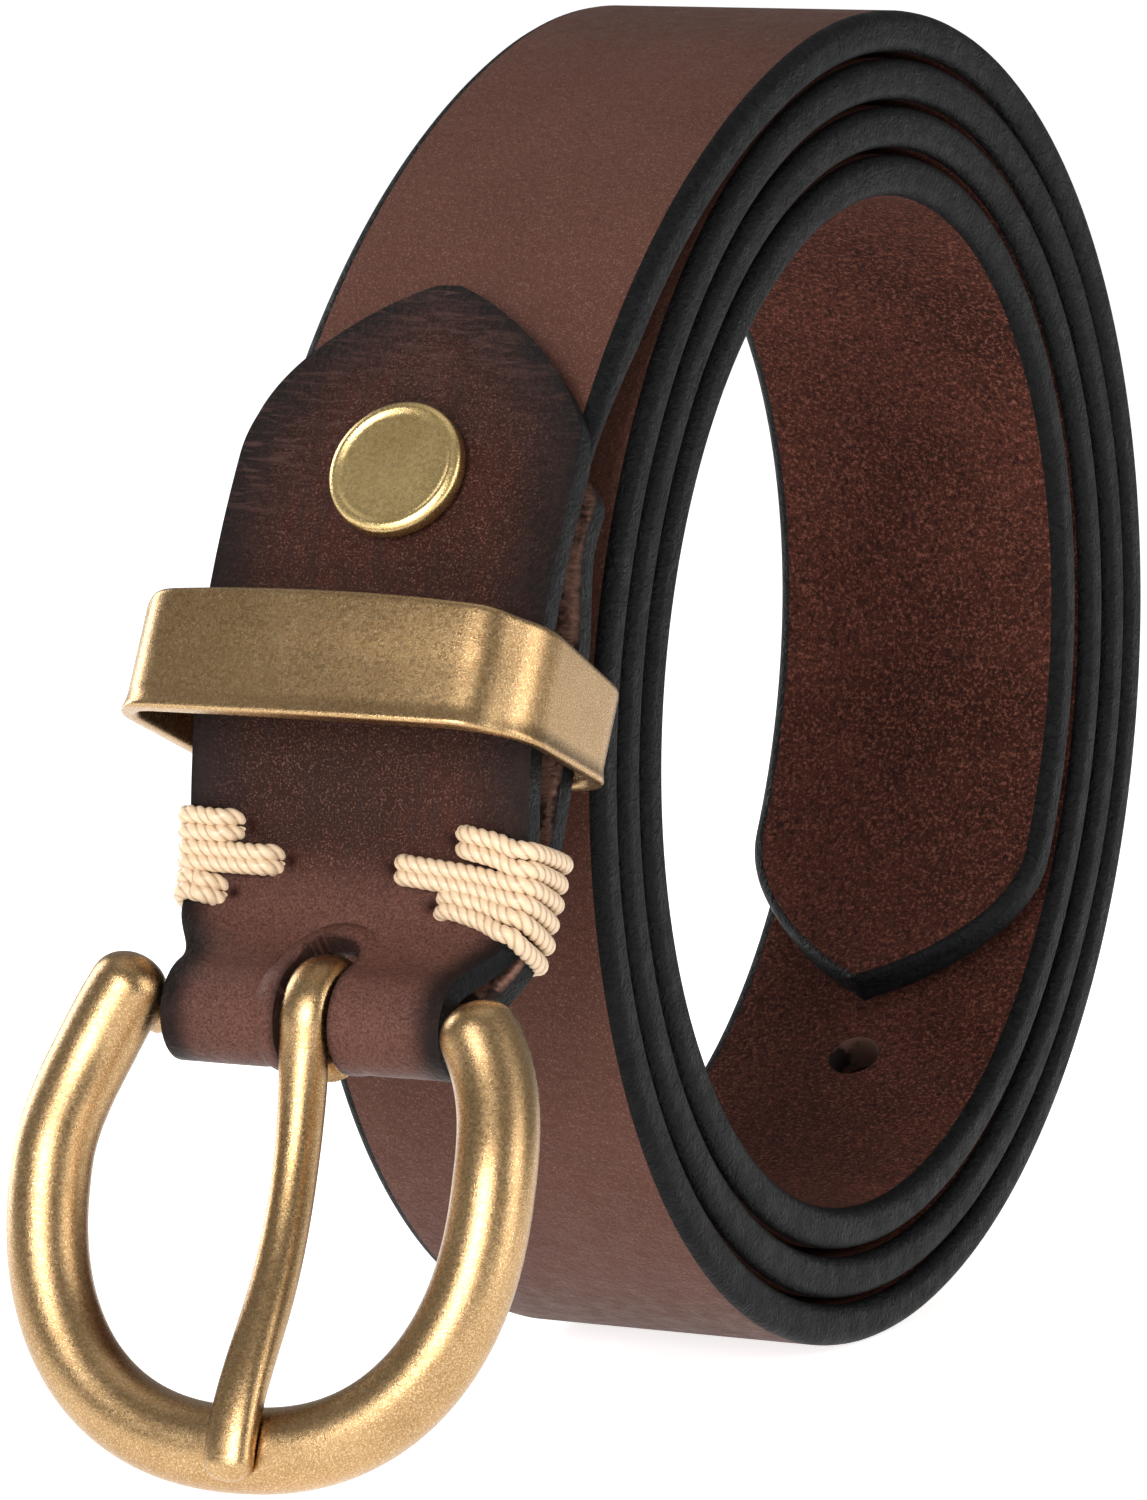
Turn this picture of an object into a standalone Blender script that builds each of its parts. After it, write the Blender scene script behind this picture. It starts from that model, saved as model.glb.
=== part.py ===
"""A man's leather belt, rolled into a loose coil that stands on its rim.

Metres, +Z up. The strap's width runs along X. The coil stands on the ground at z = 0 with its axis
along X, and the buckle end hangs from the coil's front, on the -Y side. Places in the coil's plane
are written as (y, z) pairs measured from the coil's centre.
"""

import math

import bmesh
import bpy
from mathutils import Matrix, Vector

# Driving dimensions
STRAP_WIDTH = 0.0320
STRAP_THICKNESS = 0.0040
CHAPE_WIDTH = 0.0344
CHAPE_THICKNESS = 0.0026
COIL_RADIUS = 0.0640  # outside of the outermost turn, level with the coil's centre at the back
BAR_RADIUS = 0.0022
BAR_CLEARANCE = 0.00035
GAP = 0.0003  # between pieces that touch on the real belt

# The coil
COIL_CENTRE = Vector((0.0, 0.0222, 0.0635))
TURN_PITCH = 0.0046
OVAL = 0.00095
OVAL_ANGLE = math.radians(66)
FIRST_ANGLE = math.radians(-50)  # the strap's point
LEAVING_ANGLE = 3 * math.tau + math.radians(108)  # where the buckle end leaves the coil
TURN_SLACK = (0.0035, 0.0011, 0.0, 0.0)  # how far each turn sags inwards at the back, inmost first
SLACK_CENTRE = math.radians(-15)
SLACK_REACH = math.radians(110)
STATIONS_PER_TURN = 44
TIP_LENGTH = 0.0175

# The punched holes, measured along the strap from its point
HOLE_COUNT = 7
FIRST_HOLE = 0.1243
HOLE_SPACING = 0.03175
HOLE_RADIUS = 0.0023

# The buckle end
STRAP_END = (-0.07155, 0.01475)
STRAP_END_LEAN = math.radians(22)
STRAP_END_THICKNESS = 0.0008
SKIVE_START = 0.60  # share of the buckle end's curve at full thickness
TAB_LENGTH = 0.0190
TAB_START = 0.571
TAB_SKEW = 0.0016
TAB_SKEW_LENGTH = 0.0150
CHAPE_END_START = 0.72
CHAPE_LEAVES = 0.88  # where the back layer parts from the strap's end
CHAPE_END_THICKNESS = 0.0011
FOLD_THICKNESS = 0.0022
FOLD_HALF_WIDTH = 0.0141
FOLD_SHIFT = -0.0003  # the fold sits a little to one side
BAR_CENTRE = (-0.08395, -0.02155)
SEAM_FRONT = (-0.0769, -0.0075)
SEAM_BACK = (-0.0729, -0.0075)
SEAM_BACK_LEAN = math.radians(24)
BACK_MIDDLE = (-0.0672, 0.0095)  # where the back layer passes behind the keeper
BACK_MIDDLE_LEAN = math.radians(17)
BACK_END_LENGTH = 0.0090  # the rounded end of the back layer
RIVET_SHARE = 0.850

# The frame
FRAME_LEAN = math.radians(17)
FRAME_CENTRE = (-0.0937, -0.0344)
FRAME_TILT = math.radians(-0.7)  # the horseshoe sits a little askew on its bar
FRAME_SHIFT = -0.0006
FRAME_HALF_WIDTH = 0.0223
FRAME_HALF_HEIGHT = 0.0243
FRAME_SQUARENESS = 0.87  # power that fills out the lower corners; 1 is an ellipse
FRAME_RADIUS = 0.0039  # at the bottom
FRAME_LEG_RADIUS = 0.0037
FRAME_END_ANGLE = math.radians(125)
FRAME_SETBACK = 0.0016
FRAME_LEFT_STRETCH = 1.17  # the left leg reaches higher than the right

# The keeper
KEEPER_CENTRE = (-0.0750, 0.0061)
KEEPER_LEAN = math.radians(26)
KEEPER_WIDTH = 0.0412
KEEPER_DEPTH = 0.0228
KEEPER_TOP = (0.0050, 0.0055)  # the band's reach above its middle, at the back and the front
KEEPER_BOTTOM = (0.0038, 0.0057)
KEEPER_CROWN = (0.0013, 0.0005, 0.0003)  # the front's bulge forwards, upwards and downwards
KEEPER_FLARE = 0.0005  # how far the sides' lower edges turn out
KEEPER_WALL = 0.0017
KEEPER_CORNER = 0.0035

# The prong
PRONG_HALF_WIDTHS = (0.0023, 0.0020, 0.0023)  # at the hook, the shank's middle and the tip
PRONG_DEPTH = 0.0041
PRONG_WRAP_THICKNESS = 0.0031
PRONG_TIP_DEPTH = 0.0032
HOOK_STEPS = 18
PRONG_ELBOW = (-0.0965, -0.0440)
PRONG_TIP = (-0.1055, -0.0575)
SLOT_WIDTH = 0.0062
SLOT_TOP = -0.0144

# The rivet
CAP_RADIUS = 0.0066
CAP_HEIGHT = 0.0020
BARREL_RADIUS = 0.0022
SCREW_RADIUS = 0.0012
SCREW_HEAD_RADIUS = 0.0045
SCREW_HEAD_HEIGHT = 0.0011

# The stitches
CORD_RADIUS = 0.0007
STITCH_HOLES = {"left": (0.0116, 0.0075, 0.0132), "right": (0.0106, 0.0040, 0.0082)}
STITCH_LEVELS = (-0.0064, -0.0094, -0.0124)
STITCH_LIFT = 0.0005  # between the leather and the cord
FRONT_LEANS_BELOW = -0.0090  # the front layer bends outwards below this height
FRONT_LEAN_OUT = 0.0028
STITCH_NAMES = ("upper", "middle", "lower")

# Colours: (red, green, blue), metallic, roughness
TREAD_BROWN = ((0.20, 0.085, 0.065), 0.0, 0.55)
CHAPE_BROWN = ((0.13, 0.055, 0.045), 0.0, 0.50)
ANTIQUE_BRASS = ((0.52, 0.40, 0.22), 1.0, 0.32)
CREAM_THREAD = ((0.83, 0.76, 0.64), 0.0, 0.45)


def clear_scene():
    for obj in list(bpy.data.objects):
        bpy.data.objects.remove(obj, do_unlink=True)


def material(name, look):
    colour, metallic, roughness = look
    made = bpy.data.materials.get(name) or bpy.data.materials.new(name)
    made.use_nodes = True
    shader = made.node_tree.nodes["Principled BSDF"]
    shader.inputs["Base Color"].default_value = (*colour, 1.0)
    shader.inputs["Metallic"].default_value = metallic
    shader.inputs["Roughness"].default_value = roughness
    return made


def smooth_step(share):
    share = min(max(share, 0.0), 1.0)
    return share * share * (3 - 2 * share)


def blend(first, second, share):
    return first + (second - first) * share


def in_plane(y, z):
    """A point of the coil's plane as a vector with x = 0."""
    return Vector((0.0, y, z))


def lean_direction(angle):
    """The unit vector that points down and leans outwards by this angle from the vertical."""
    return in_plane(-math.sin(angle), -math.cos(angle))


def outward(direction):
    """The normal on the outer side of a path that runs down the belt's front."""
    return Vector((0.0, direction.z, -direction.y)).normalized()


def curve_between(start, start_direction, end, end_direction, shares, pull=1.0):
    """Points of a cubic that leaves start and reaches end along the given unit directions."""
    reach = (end - start).length * pull
    points = []
    for t in shares:
        points.append(
            start * (2 * t**3 - 3 * t**2 + 1)
            + start_direction * (reach * (t**3 - 2 * t**2 + t))
            + end * (3 * t**2 - 2 * t**3)
            + end_direction * (reach * (t**3 - t**2))
        )
    return points


def evenly(count):
    return [i / count for i in range(count + 1)]


def directions_along(points):
    """The unit direction of a path at each of its points."""
    last = len(points) - 1
    return [
        (points[min(i + 1, last)] - points[max(i - 1, 0)]).normalized() for i in range(last + 1)
    ]


def lengths_along(points):
    """The distance of each point from the path's start, measured along the path."""
    lengths = [0.0]
    for before, after in zip(points, points[1:]):
        lengths.append(lengths[-1] + (after - before).length)
    return lengths


def at_length(points, lengths, length):
    """The point of a path at this distance from its start, and the path's direction there."""
    i = next(after for after in range(1, len(lengths)) if lengths[after] >= length)
    share = (length - lengths[i - 1]) / (lengths[i] - lengths[i - 1])
    before, after = points[i - 1], points[i]
    return before.lerp(after, share), (after - before).normalized()


# Outlines in the coil's plane


def coil_radius(angle):
    """The outer face's distance from the coil's centre; the angle grows from the strap's point."""
    turns = angle / math.tau
    turn = min(int((angle + math.pi) // math.tau), len(TURN_SLACK) - 1)
    facing = (angle + math.pi) % math.tau - math.pi
    nearness = max(0.0, 1 - abs(facing - SLACK_CENTRE) / SLACK_REACH)
    slack = TURN_SLACK[turn] * smooth_step(nearness)
    oval = OVAL * math.cos(2 * (angle - OVAL_ANGLE))
    return COIL_RADIUS + TURN_PITCH * (turns - 3) + oval - slack


def coil_point(angle):
    radius = coil_radius(angle)
    return in_plane(radius * math.cos(angle), radius * math.sin(angle))


def coil_face():
    """The strap's outer face from its point to where the buckle end leaves the coil."""
    count = round((LEAVING_ANGLE - FIRST_ANGLE) / math.tau * STATIONS_PER_TURN)
    return [coil_point(blend(FIRST_ANGLE, LEAVING_ANGLE, i / count)) for i in range(count + 1)]


def end_face(count, first=0.0, last=1.0):
    """The strap's outer face between two shares of its way from the coil to its hidden end."""
    start = coil_point(LEAVING_ANGLE)
    start_direction = (start - coil_point(LEAVING_ANGLE - 0.01)).normalized()
    end = in_plane(*STRAP_END)
    shares = [blend(first, last, i / count) for i in range(count + 1)]
    return curve_between(start, start_direction, end, lean_direction(STRAP_END_LEAN), shares, 1.05)


def end_thickness(share):
    """The strap's thickness along the buckle end, which is pared down to almost nothing."""
    pared = max(0.0, share - SKIVE_START) / (1 - SKIVE_START)
    return blend(STRAP_THICKNESS, STRAP_END_THICKNESS, pared)


def pointed_half_width(distance, length, full):
    """Half the width of a pointed end, this far from its point."""
    if distance >= length:
        return full
    return full * math.sin(math.pi / 2 * distance / length) ** 0.75


# Mesh building


def new_object(name, mesh_data, look_name, look, smooth=True):
    mesh = bpy.data.meshes.new(name)
    mesh_data.to_mesh(mesh)
    mesh_data.free()
    if smooth:
        mesh.shade_smooth()
        mesh.set_sharp_from_angle(angle=math.radians(40))
    obj = bpy.data.objects.new(name, mesh)
    obj.data.materials.append(material(look_name, look))
    bpy.context.scene.collection.objects.link(obj)
    return obj


def loft(rings, closed_path=False):
    """A closed mesh through rings of points; the first and last rings are capped."""
    mesh_data = bmesh.new()
    made = [[mesh_data.verts.new(point) for point in ring] for ring in rings]
    pairs = list(zip(made, made[1:]))
    if closed_path:
        pairs.append((made[-1], made[0]))
    for ring, following in pairs:
        for i in range(len(ring)):
            k = (i + 1) % len(ring)
            mesh_data.faces.new((ring[i], ring[k], following[k], following[i]))
    if not closed_path:
        mesh_data.faces.new(list(reversed(made[0])))
        mesh_data.faces.new(made[-1])
    bmesh.ops.recalc_face_normals(mesh_data, faces=mesh_data.faces)
    return mesh_data


def strap_ring(centre, normal, half_width, half_thickness, corner=0.0008):
    """The strap's section: a rectangle across X with its corners cut off."""
    corner = min(corner, 0.55 * half_thickness, 0.55 * half_width)
    w, h = half_width, half_thickness
    outline = ((w - corner, h), (w, h - corner), (w, corner - h), (w - corner, -h))
    outline += tuple((-x, y) for x, y in reversed(outline))
    return [COIL_CENTRE + centre + Vector((x, 0, 0)) + normal * y for x, y in outline]


def round_ring(centre, side, up, side_radius, up_radius, count=12):
    ring = []
    for i in range(count):
        angle = math.tau * i / count
        across, above = side_radius * math.cos(angle), up_radius * math.sin(angle)
        ring.append(centre + side * across + up * above)
    return ring


def turned(profile, origin, axis, count=24):
    """A solid of revolution, closed at both ends, from (radius, height) pairs along the axis."""
    side = Vector((1, 0, 0))
    up = axis.cross(side)
    return loft([round_ring(origin + axis * h, side, up, r, r, count) for r, h in profile])


def cutter(name, mesh_data):
    obj = new_object(name, mesh_data, "cutter", TREAD_BROWN, smooth=False)
    obj.hide_render = True
    obj.display_type = "WIRE"
    return obj


def combine(obj, other, operation):
    step = obj.modifiers.new(other.name, "BOOLEAN")
    step.operation = operation
    step.object = other
    step.solver = "EXACT"


# The leather


def strap_stations():
    """(outer face point, outward normal, thickness) all along the strap."""
    coil = coil_face()
    end = end_face(16)
    points = coil + end[1:]
    thicknesses = [STRAP_THICKNESS] * len(coil)
    thicknesses += [end_thickness(i / 16) for i in range(1, 17)]
    normals = [outward(direction) for direction in directions_along(points)]
    return list(zip(points, normals, thicknesses))


def make_strap(rivet_bore):
    stations = strap_stations()
    points = [point for point, _, _ in stations]
    lengths = lengths_along(points)
    rings = []
    for (point, normal, thickness), length in zip(stations, lengths):
        half_width = pointed_half_width(length + 0.0003, TIP_LENGTH, STRAP_WIDTH / 2)
        middle = point - normal * (thickness / 2)
        rings.append(strap_ring(middle, normal, half_width, thickness / 2))
    strap = new_object("strap", loft(rings), "strap_leather", TREAD_BROWN)

    punches = bmesh.new()
    reach = STRAP_THICKNESS / 2 + 0.00025
    for i in range(HOLE_COUNT):
        point, direction = at_length(points, lengths, FIRST_HOLE + i * HOLE_SPACING)
        normal = outward(direction)
        middle = COIL_CENTRE + point - normal * (STRAP_THICKNESS / 2)
        placed = Matrix.Translation(middle) @ normal.to_track_quat("Z", "X").to_matrix().to_4x4()
        bmesh.ops.create_cone(
            punches, cap_ends=True, segments=12, matrix=placed,
            radius1=HOLE_RADIUS, radius2=HOLE_RADIUS, depth=2 * reach,
        )
    combine(strap, cutter("hole_punches", punches), "DIFFERENCE")
    combine(strap, rivet_bore, "DIFFERENCE")
    return strap


def fold_point(angle, radius):
    """A point round the bar: 0 is its front, and the angle grows towards its top."""
    return in_plane(*BAR_CENTRE) + in_plane(-radius * math.cos(angle), radius * math.sin(angle))


def chape_front_path():
    """The middle of the chape's thickness, from the tab's point down to the fold."""
    face = end_face(14, first=TAB_START)
    normals = [outward(direction) for direction in directions_along(face)]
    tab = [point + normal * (GAP + CHAPE_THICKNESS / 2) for point, normal in zip(face, normals)]
    seam = in_plane(*SEAM_FRONT)
    leaning, upright = lean_direction(STRAP_END_LEAN), lean_direction(0.0)
    return tab + curve_between(tab[-1], leaning, seam, upright, evenly(8))[1:]


def chape_back_path():
    """The middle of the back layer's thickness, from the seam up to its end behind the strap."""
    count = 5
    face = end_face(count, CHAPE_END_START, CHAPE_LEAVES)
    behind = []
    for i, (point, direction) in enumerate(zip(face, directions_along(face))):
        covered = end_thickness(blend(CHAPE_END_START, CHAPE_LEAVES, i / count))
        behind.append(point - outward(direction) * (covered + GAP + FOLD_THICKNESS / 2))
    behind.reverse()
    seam = in_plane(*SEAM_BACK)
    middle = in_plane(*BACK_MIDDLE)
    upwards = -lean_direction(SEAM_BACK_LEAN)
    steeper = -lean_direction(BACK_MIDDLE_LEAN)
    start = curve_between(seam, upwards, middle, steeper, evenly(7))
    towards = (behind[1] - behind[0]).normalized()
    rest = curve_between(middle, steeper, behind[0], towards, evenly(6))
    return start + rest[1:] + behind[1:]


def make_chape(rivet_bore):
    """The leather that folds round the buckle's bar: tab, front layer, fold and back layer."""
    radius = BAR_RADIUS + BAR_CLEARANCE + FOLD_THICKNESS / 2
    front = chape_front_path()
    start_angle, end_angle = math.radians(75), math.radians(-154)
    fold = [fold_point(blend(start_angle, end_angle, i / 16), radius) for i in range(17)]
    fold_direction = in_plane(-math.sin(start_angle), -math.cos(start_angle))
    neck = curve_between(
        front[-1], lean_direction(0.0), fold[0], fold_direction, evenly(8), 1.15
    )
    back = chape_back_path()
    leaving = in_plane(-math.sin(end_angle), -math.cos(end_angle))
    rise = curve_between(fold[-1], leaving, back[0], -lean_direction(SEAM_BACK_LEAN), evenly(6))

    points = front + neck[1:] + fold[1:] + rise[1:] + back[1:]
    fold_starts = len(front) + len(neck) - 2
    fold_ends = fold_starts + len(fold) - 1
    lengths = lengths_along(points)
    total = lengths[-1]
    rings = []
    for i, (point, direction) in enumerate(zip(points, directions_along(points))):
        beyond = max(lengths[fold_starts] - lengths[i], lengths[i] - lengths[fold_ends], 0.0)
        widened = smooth_step((beyond - 0.0005) / 0.0075)
        full = blend(FOLD_HALF_WIDTH, CHAPE_WIDTH / 2, widened)
        nearest_end = min(lengths[i], total - lengths[i]) + 0.0003
        end_length = TAB_LENGTH if i < len(front) else BACK_END_LENGTH
        half_width = pointed_half_width(nearest_end, end_length, full)
        thickness = blend(CHAPE_THICKNESS, FOLD_THICKNESS, smooth_step(i / fold_starts))
        thinned = smooth_step((total - lengths[i]) / 0.012)
        thickness = blend(CHAPE_END_THICKNESS, thickness, thinned)
        skew = TAB_SKEW * max(0.0, 1 - lengths[i] / TAB_SKEW_LENGTH)
        middle = point + Vector((FOLD_SHIFT * (1 - widened) - skew, 0, 0))
        rings.append(strap_ring(middle, outward(direction), half_width, thickness / 2, 0.0005))
    chape = new_object("chape", loft(rings), "chape_leather", CHAPE_BROWN)

    combine(chape, cutter("prong_slot", slot_cutter()), "DIFFERENCE")
    combine(chape, rivet_bore, "DIFFERENCE")
    combine(chape, cutter("stitch_slits", slit_cutters()), "DIFFERENCE")
    return chape


def slot_cutter():
    """An arch open at the bottom, through both layers of the fold."""
    half = SLOT_WIDTH / 2
    outline = [(-half, -0.032), (half, -0.032)]
    for i in range(9):
        angle = math.pi * i / 8
        outline.append((half * math.cos(angle), SLOT_TOP - half + half * math.sin(angle)))
    rings = []
    for y in (-0.096, -0.070):
        rings.append([COIL_CENTRE + Vector((x, y, z)) for x, z in outline])
    return loft(rings)


def slit_cutters():
    """The slits that the stitches pass through, in both layers."""
    slits = bmesh.new()
    size = Vector((2 * CORD_RADIUS + 2 * GAP, 0.016, 4 * CORD_RADIUS + 2 * GAP))
    for side_name, side in (("left", -1), ("right", 1)):
        for level, inner in zip(STITCH_LEVELS, STITCH_HOLES[side_name]):
            middle = COIL_CENTRE + Vector((side * inner, -0.0750, level))
            placed = Matrix.Translation(middle) @ Matrix.Diagonal((*size, 1.0))
            bmesh.ops.create_cube(slits, size=1.0, matrix=placed)
    return slits


def make_stitch(name, side, inner, level):
    """Two strands of cord side by side, in through a slit and round the leather's edge."""
    clear = CORD_RADIUS + STITCH_LIFT
    front = SEAM_FRONT[0] - CHAPE_THICKNESS / 2 - clear
    front -= FRONT_LEAN_OUT * smooth_step((FRONT_LEANS_BELOW - level) / 0.0036)
    back = SEAM_BACK[0] + FOLD_THICKNESS / 2 + clear
    back += max(0.0, level + 2 * CORD_RADIUS - SEAM_BACK[1]) * math.tan(SEAM_BACK_LEAN)
    edge = CHAPE_WIDTH / 2 + GAP + CORD_RADIUS
    bend, upwards = 2 * CORD_RADIUS, Vector((0, 0, 1))
    corners = ((inner, front, 1, 1), (edge, front, -1, 1), (edge, back, -1, -1), (inner, back, 1, -1))
    rings = []
    for quarter, (x, y, x_in, y_in) in enumerate(corners):
        for step in range(4):
            turn = math.pi + math.pi / 2 * (quarter + step / 3)
            spoke = Vector((math.cos(turn), math.sin(turn), 0))
            point = Vector((x + x_in * bend, y + y_in * bend, level)) + spoke * bend
            ring = round_ring(point, spoke, upwards, CORD_RADIUS, 2 * CORD_RADIUS, 8)
            rings.append([COIL_CENTRE + Vector((side * at.x, at.y, at.z)) for at in ring])
    return new_object(name, loft(rings, closed_path=True), "thread", CREAM_THREAD)


def make_stitches():
    for side_name, side in (("left", -1), ("right", 1)):
        for name, inner, level in zip(STITCH_NAMES, STITCH_HOLES[side_name], STITCH_LEVELS):
            make_stitch(f"stitch_{side_name}_{name}", side, inner, level)


# The metal


def pivot(name, centre):
    """An empty on a moving piece's axis."""
    empty = bpy.data.objects.new(name, None)
    empty.location = COIL_CENTRE + in_plane(*centre)
    bpy.context.scene.collection.objects.link(empty)
    return empty


def hang_on(obj, empty):
    obj.parent = empty
    obj.matrix_parent_inverse = Matrix.Translation(-empty.location)


def frame_point(angle):
    """The frame's centre line: 0 is the bottom, and both ends curve back to meet the bar."""
    down = lean_direction(FRAME_LEAN)
    across, below = math.sin(angle), math.cos(angle)
    if below > 0:
        across = math.copysign(abs(across) ** FRAME_SQUARENESS, across)
        below = below**FRAME_SQUARENESS
    elif across < 0:
        below *= FRAME_LEFT_STRETCH
    height = FRAME_HALF_HEIGHT * below
    point = in_plane(*FRAME_CENTRE) + down * height
    point += Vector((FRAME_SHIFT + FRAME_HALF_WIDTH * across, 0, 0))
    set_back = FRAME_SETBACK * smooth_step(-height / (0.5 * FRAME_HALF_HEIGHT))
    point -= outward(down) * set_back
    bar = in_plane(*BAR_CENTRE)
    return bar + Matrix.Rotation(FRAME_TILT, 3, "Y") @ (point - bar)


def make_frame():
    count = 36
    angles = [blend(-FRAME_END_ANGLE, FRAME_END_ANGLE, i / count) for i in range(count + 1)]
    points = [frame_point(angle) for angle in angles]
    directions = directions_along(points)
    facing = outward(lean_direction(FRAME_LEAN))
    rings = []
    for point, direction, angle in zip(points, directions, angles):
        turned_up = min(abs(angle), math.pi / 2)
        radius = blend(FRAME_RADIUS, FRAME_LEG_RADIUS, math.sin(turned_up))
        across = direction.cross(facing).normalized()
        rings.append(round_ring(COIL_CENTRE + point, across, facing, radius, radius))
    for end in (0, -1):
        # a domed end, from rings that shrink as they leave the leg
        ahead = directions[end] if end else -directions[end]
        across = directions[end].cross(facing).normalized()
        for rise in (0.45, 0.8, 0.98):
            radius = FRAME_LEG_RADIUS * math.sqrt(1 - rise**2)
            centre = COIL_CENTRE + points[end] + ahead * (FRAME_LEG_RADIUS * rise * 0.8)
            ring = round_ring(centre, across, facing, radius, radius)
            rings.insert(len(rings) if end else 0, ring)
    frame = new_object("buckle_frame", loft(rings), "brass", ANTIQUE_BRASS)

    reach = frame_point(FRAME_END_ANGLE).x + 0.0005
    across = [COIL_CENTRE + in_plane(*BAR_CENTRE) + Vector((x, 0, 0)) for x in (-reach, reach)]
    y_axis, z_axis = Vector((0, 1, 0)), Vector((0, 0, 1))
    bar = loft([round_ring(end, y_axis, z_axis, BAR_RADIUS, BAR_RADIUS, 16) for end in across])
    combine(frame, cutter("buckle_bar", bar), "UNION")
    combine(frame, cutter("prong_rest", prong_rest_cutter()), "DIFFERENCE")
    hang_on(frame, pivot("frame_pivot", BAR_CENTRE))
    return frame


def prong_path():
    wrap = BAR_RADIUS + BAR_CLEARANCE + PRONG_WRAP_THICKNESS / 2
    hook = [fold_point(math.radians(270) * (1 - t), wrap) for t in evenly(HOOK_STEPS)]
    elbow, tip = in_plane(*PRONG_ELBOW), in_plane(*PRONG_TIP)
    leaning = lean_direction(math.radians(37))
    shank = curve_between(hook[-1], lean_direction(0.0), elbow, leaning, evenly(8))
    end = curve_between(elbow, leaning, tip, lean_direction(math.radians(12)), evenly(8))
    return hook + shank[1:] + end[1:]


def prong_offset(z):
    """The prong lies slightly to one side at its tip."""
    return 0.0004 + 0.0015 * smooth_step((BAR_CENTRE[1] - z) / (BAR_CENTRE[1] - PRONG_TIP[1]))


def prong_stations():
    """(centre, outward normal, half width, half depth) from the prong's hook to its tip."""
    points = prong_path()
    stations = []
    for i, (point, direction) in enumerate(zip(points, directions_along(points))):
        grown = smooth_step((i - HOOK_STEPS + 2) / 7)
        tapered = smooth_step((i - len(points) + 9) / 7)
        depth = blend(PRONG_WRAP_THICKNESS / 2, PRONG_DEPTH / 2, grown)
        depth = blend(depth, PRONG_TIP_DEPTH / 2, tapered)
        at_hook, at_middle, at_tip = PRONG_HALF_WIDTHS
        half_width = blend(at_hook, at_middle, smooth_step((i - HOOK_STEPS) / 6))
        half_width = blend(half_width, at_tip, smooth_step((i - HOOK_STEPS - 6) / 10))
        centre = COIL_CENTRE + point + Vector((prong_offset(point.z), 0, 0))
        stations.append((centre, outward(direction), half_width, depth))
    return stations


def make_prong():
    side = Vector((1, 0, 0))
    stations = prong_stations()
    rings = [round_ring(centre, side, up, w, d) for centre, up, w, d in stations]
    centre, up, w, d = stations[-1]
    ahead = side.cross(up)
    for rise, size in ((0.0009, 0.78), (0.0013, 0.35)):
        rings.append(round_ring(centre + ahead * rise, side, up, w * size, d * size))
    prong = new_object("prong", loft(rings), "brass", ANTIQUE_BRASS)
    hang_on(prong, pivot("prong_pivot", BAR_CENTRE))
    return prong


def prong_rest_cutter():
    """The shallow groove in the frame that the prong's tip lies in."""
    side = Vector((1, 0, 0))
    room = 0.0006
    stations = prong_stations()[-8:]
    rings = [round_ring(centre, side, up, w + room, d + room) for centre, up, w, d in stations]
    centre, up, w, d = stations[-1]
    beyond = centre + side.cross(up) * 0.0060
    rings.append(round_ring(beyond, side, up, w + room, d + room))
    return loft(rings)


def keeper_line():
    """(x, depth, spoke) round the loop's middle line; spoke is the outward (x, depth) direction."""
    half_x, half_depth = KEEPER_WIDTH / 2 - KEEPER_WALL / 2, KEEPER_DEPTH / 2 - KEEPER_WALL / 2
    straight = half_x - KEEPER_CORNER
    line = []
    for turn, (x_sign, depth_sign) in enumerate(((1, 1), (-1, 1), (-1, -1), (1, -1))):
        for step in range(5):
            angle = math.pi / 2 * (turn + step / 4)
            spoke = (math.cos(angle), math.sin(angle))
            x = x_sign * straight + KEEPER_CORNER * spoke[0]
            depth = depth_sign * (half_depth - KEEPER_CORNER) + KEEPER_CORNER * spoke[1]
            line.append((x, depth, spoke))
        if turn == 0:
            for share in (0.2, 0.4, 0.6, 0.8):
                line.append((blend(straight, -straight, share), half_depth, (0.0, 1.0)))
    return line


def keeper_section(x, depth, spoke):
    """(out, up) corners of the band: tall in front, lower at the back, with softened edges."""
    towards_front = 0.5 + depth / (KEEPER_DEPTH - KEEPER_WALL)
    crown = (1 - (2 * x / KEEPER_WIDTH) ** 2) if depth > 0 and spoke[1] > 0.99 else 0.0
    forwards, upwards, downwards = (crown * reach for reach in KEEPER_CROWN)
    high = blend(*KEEPER_TOP, towards_front) + upwards
    low = blend(*KEEPER_BOTTOM, towards_front) + downwards
    inner, outer, soft = forwards - KEEPER_WALL / 2, forwards + KEEPER_WALL / 2, 0.0007
    flare = KEEPER_FLARE * abs(spoke[0])
    return (
        (inner + flare, -low), (outer - soft + flare, -low), (outer + flare, soft - low),
        (outer, high - soft), (outer - soft, high), (inner, high),
    )


def make_keeper():
    """The metal loop that the free end of the belt passes through."""
    forwards = outward(lean_direction(KEEPER_LEAN))
    upwards = -lean_direction(KEEPER_LEAN)
    centre = COIL_CENTRE + in_plane(*KEEPER_CENTRE)
    rings = []
    for x, depth, spoke in keeper_line():
        point = centre + Vector((x, 0, 0)) + forwards * depth
        away = Vector((spoke[0], 0, 0)) + forwards * spoke[1]
        section = keeper_section(x, depth, spoke)
        rings.append([point + away * out + upwards * up for out, up in section])
    keeper = new_object("keeper_loop", loft(rings, closed_path=True), "brass", ANTIQUE_BRASS)
    hang_on(keeper, pivot("keeper_pivot", KEEPER_CENTRE))
    return keeper


def rivet_place():
    """The rivet's point on the strap's outer face and the outward normal there."""
    face = end_face(1000)
    i = round(RIVET_SHARE * 1000)
    return COIL_CENTRE + face[i], outward(directions_along(face)[i])


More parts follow.
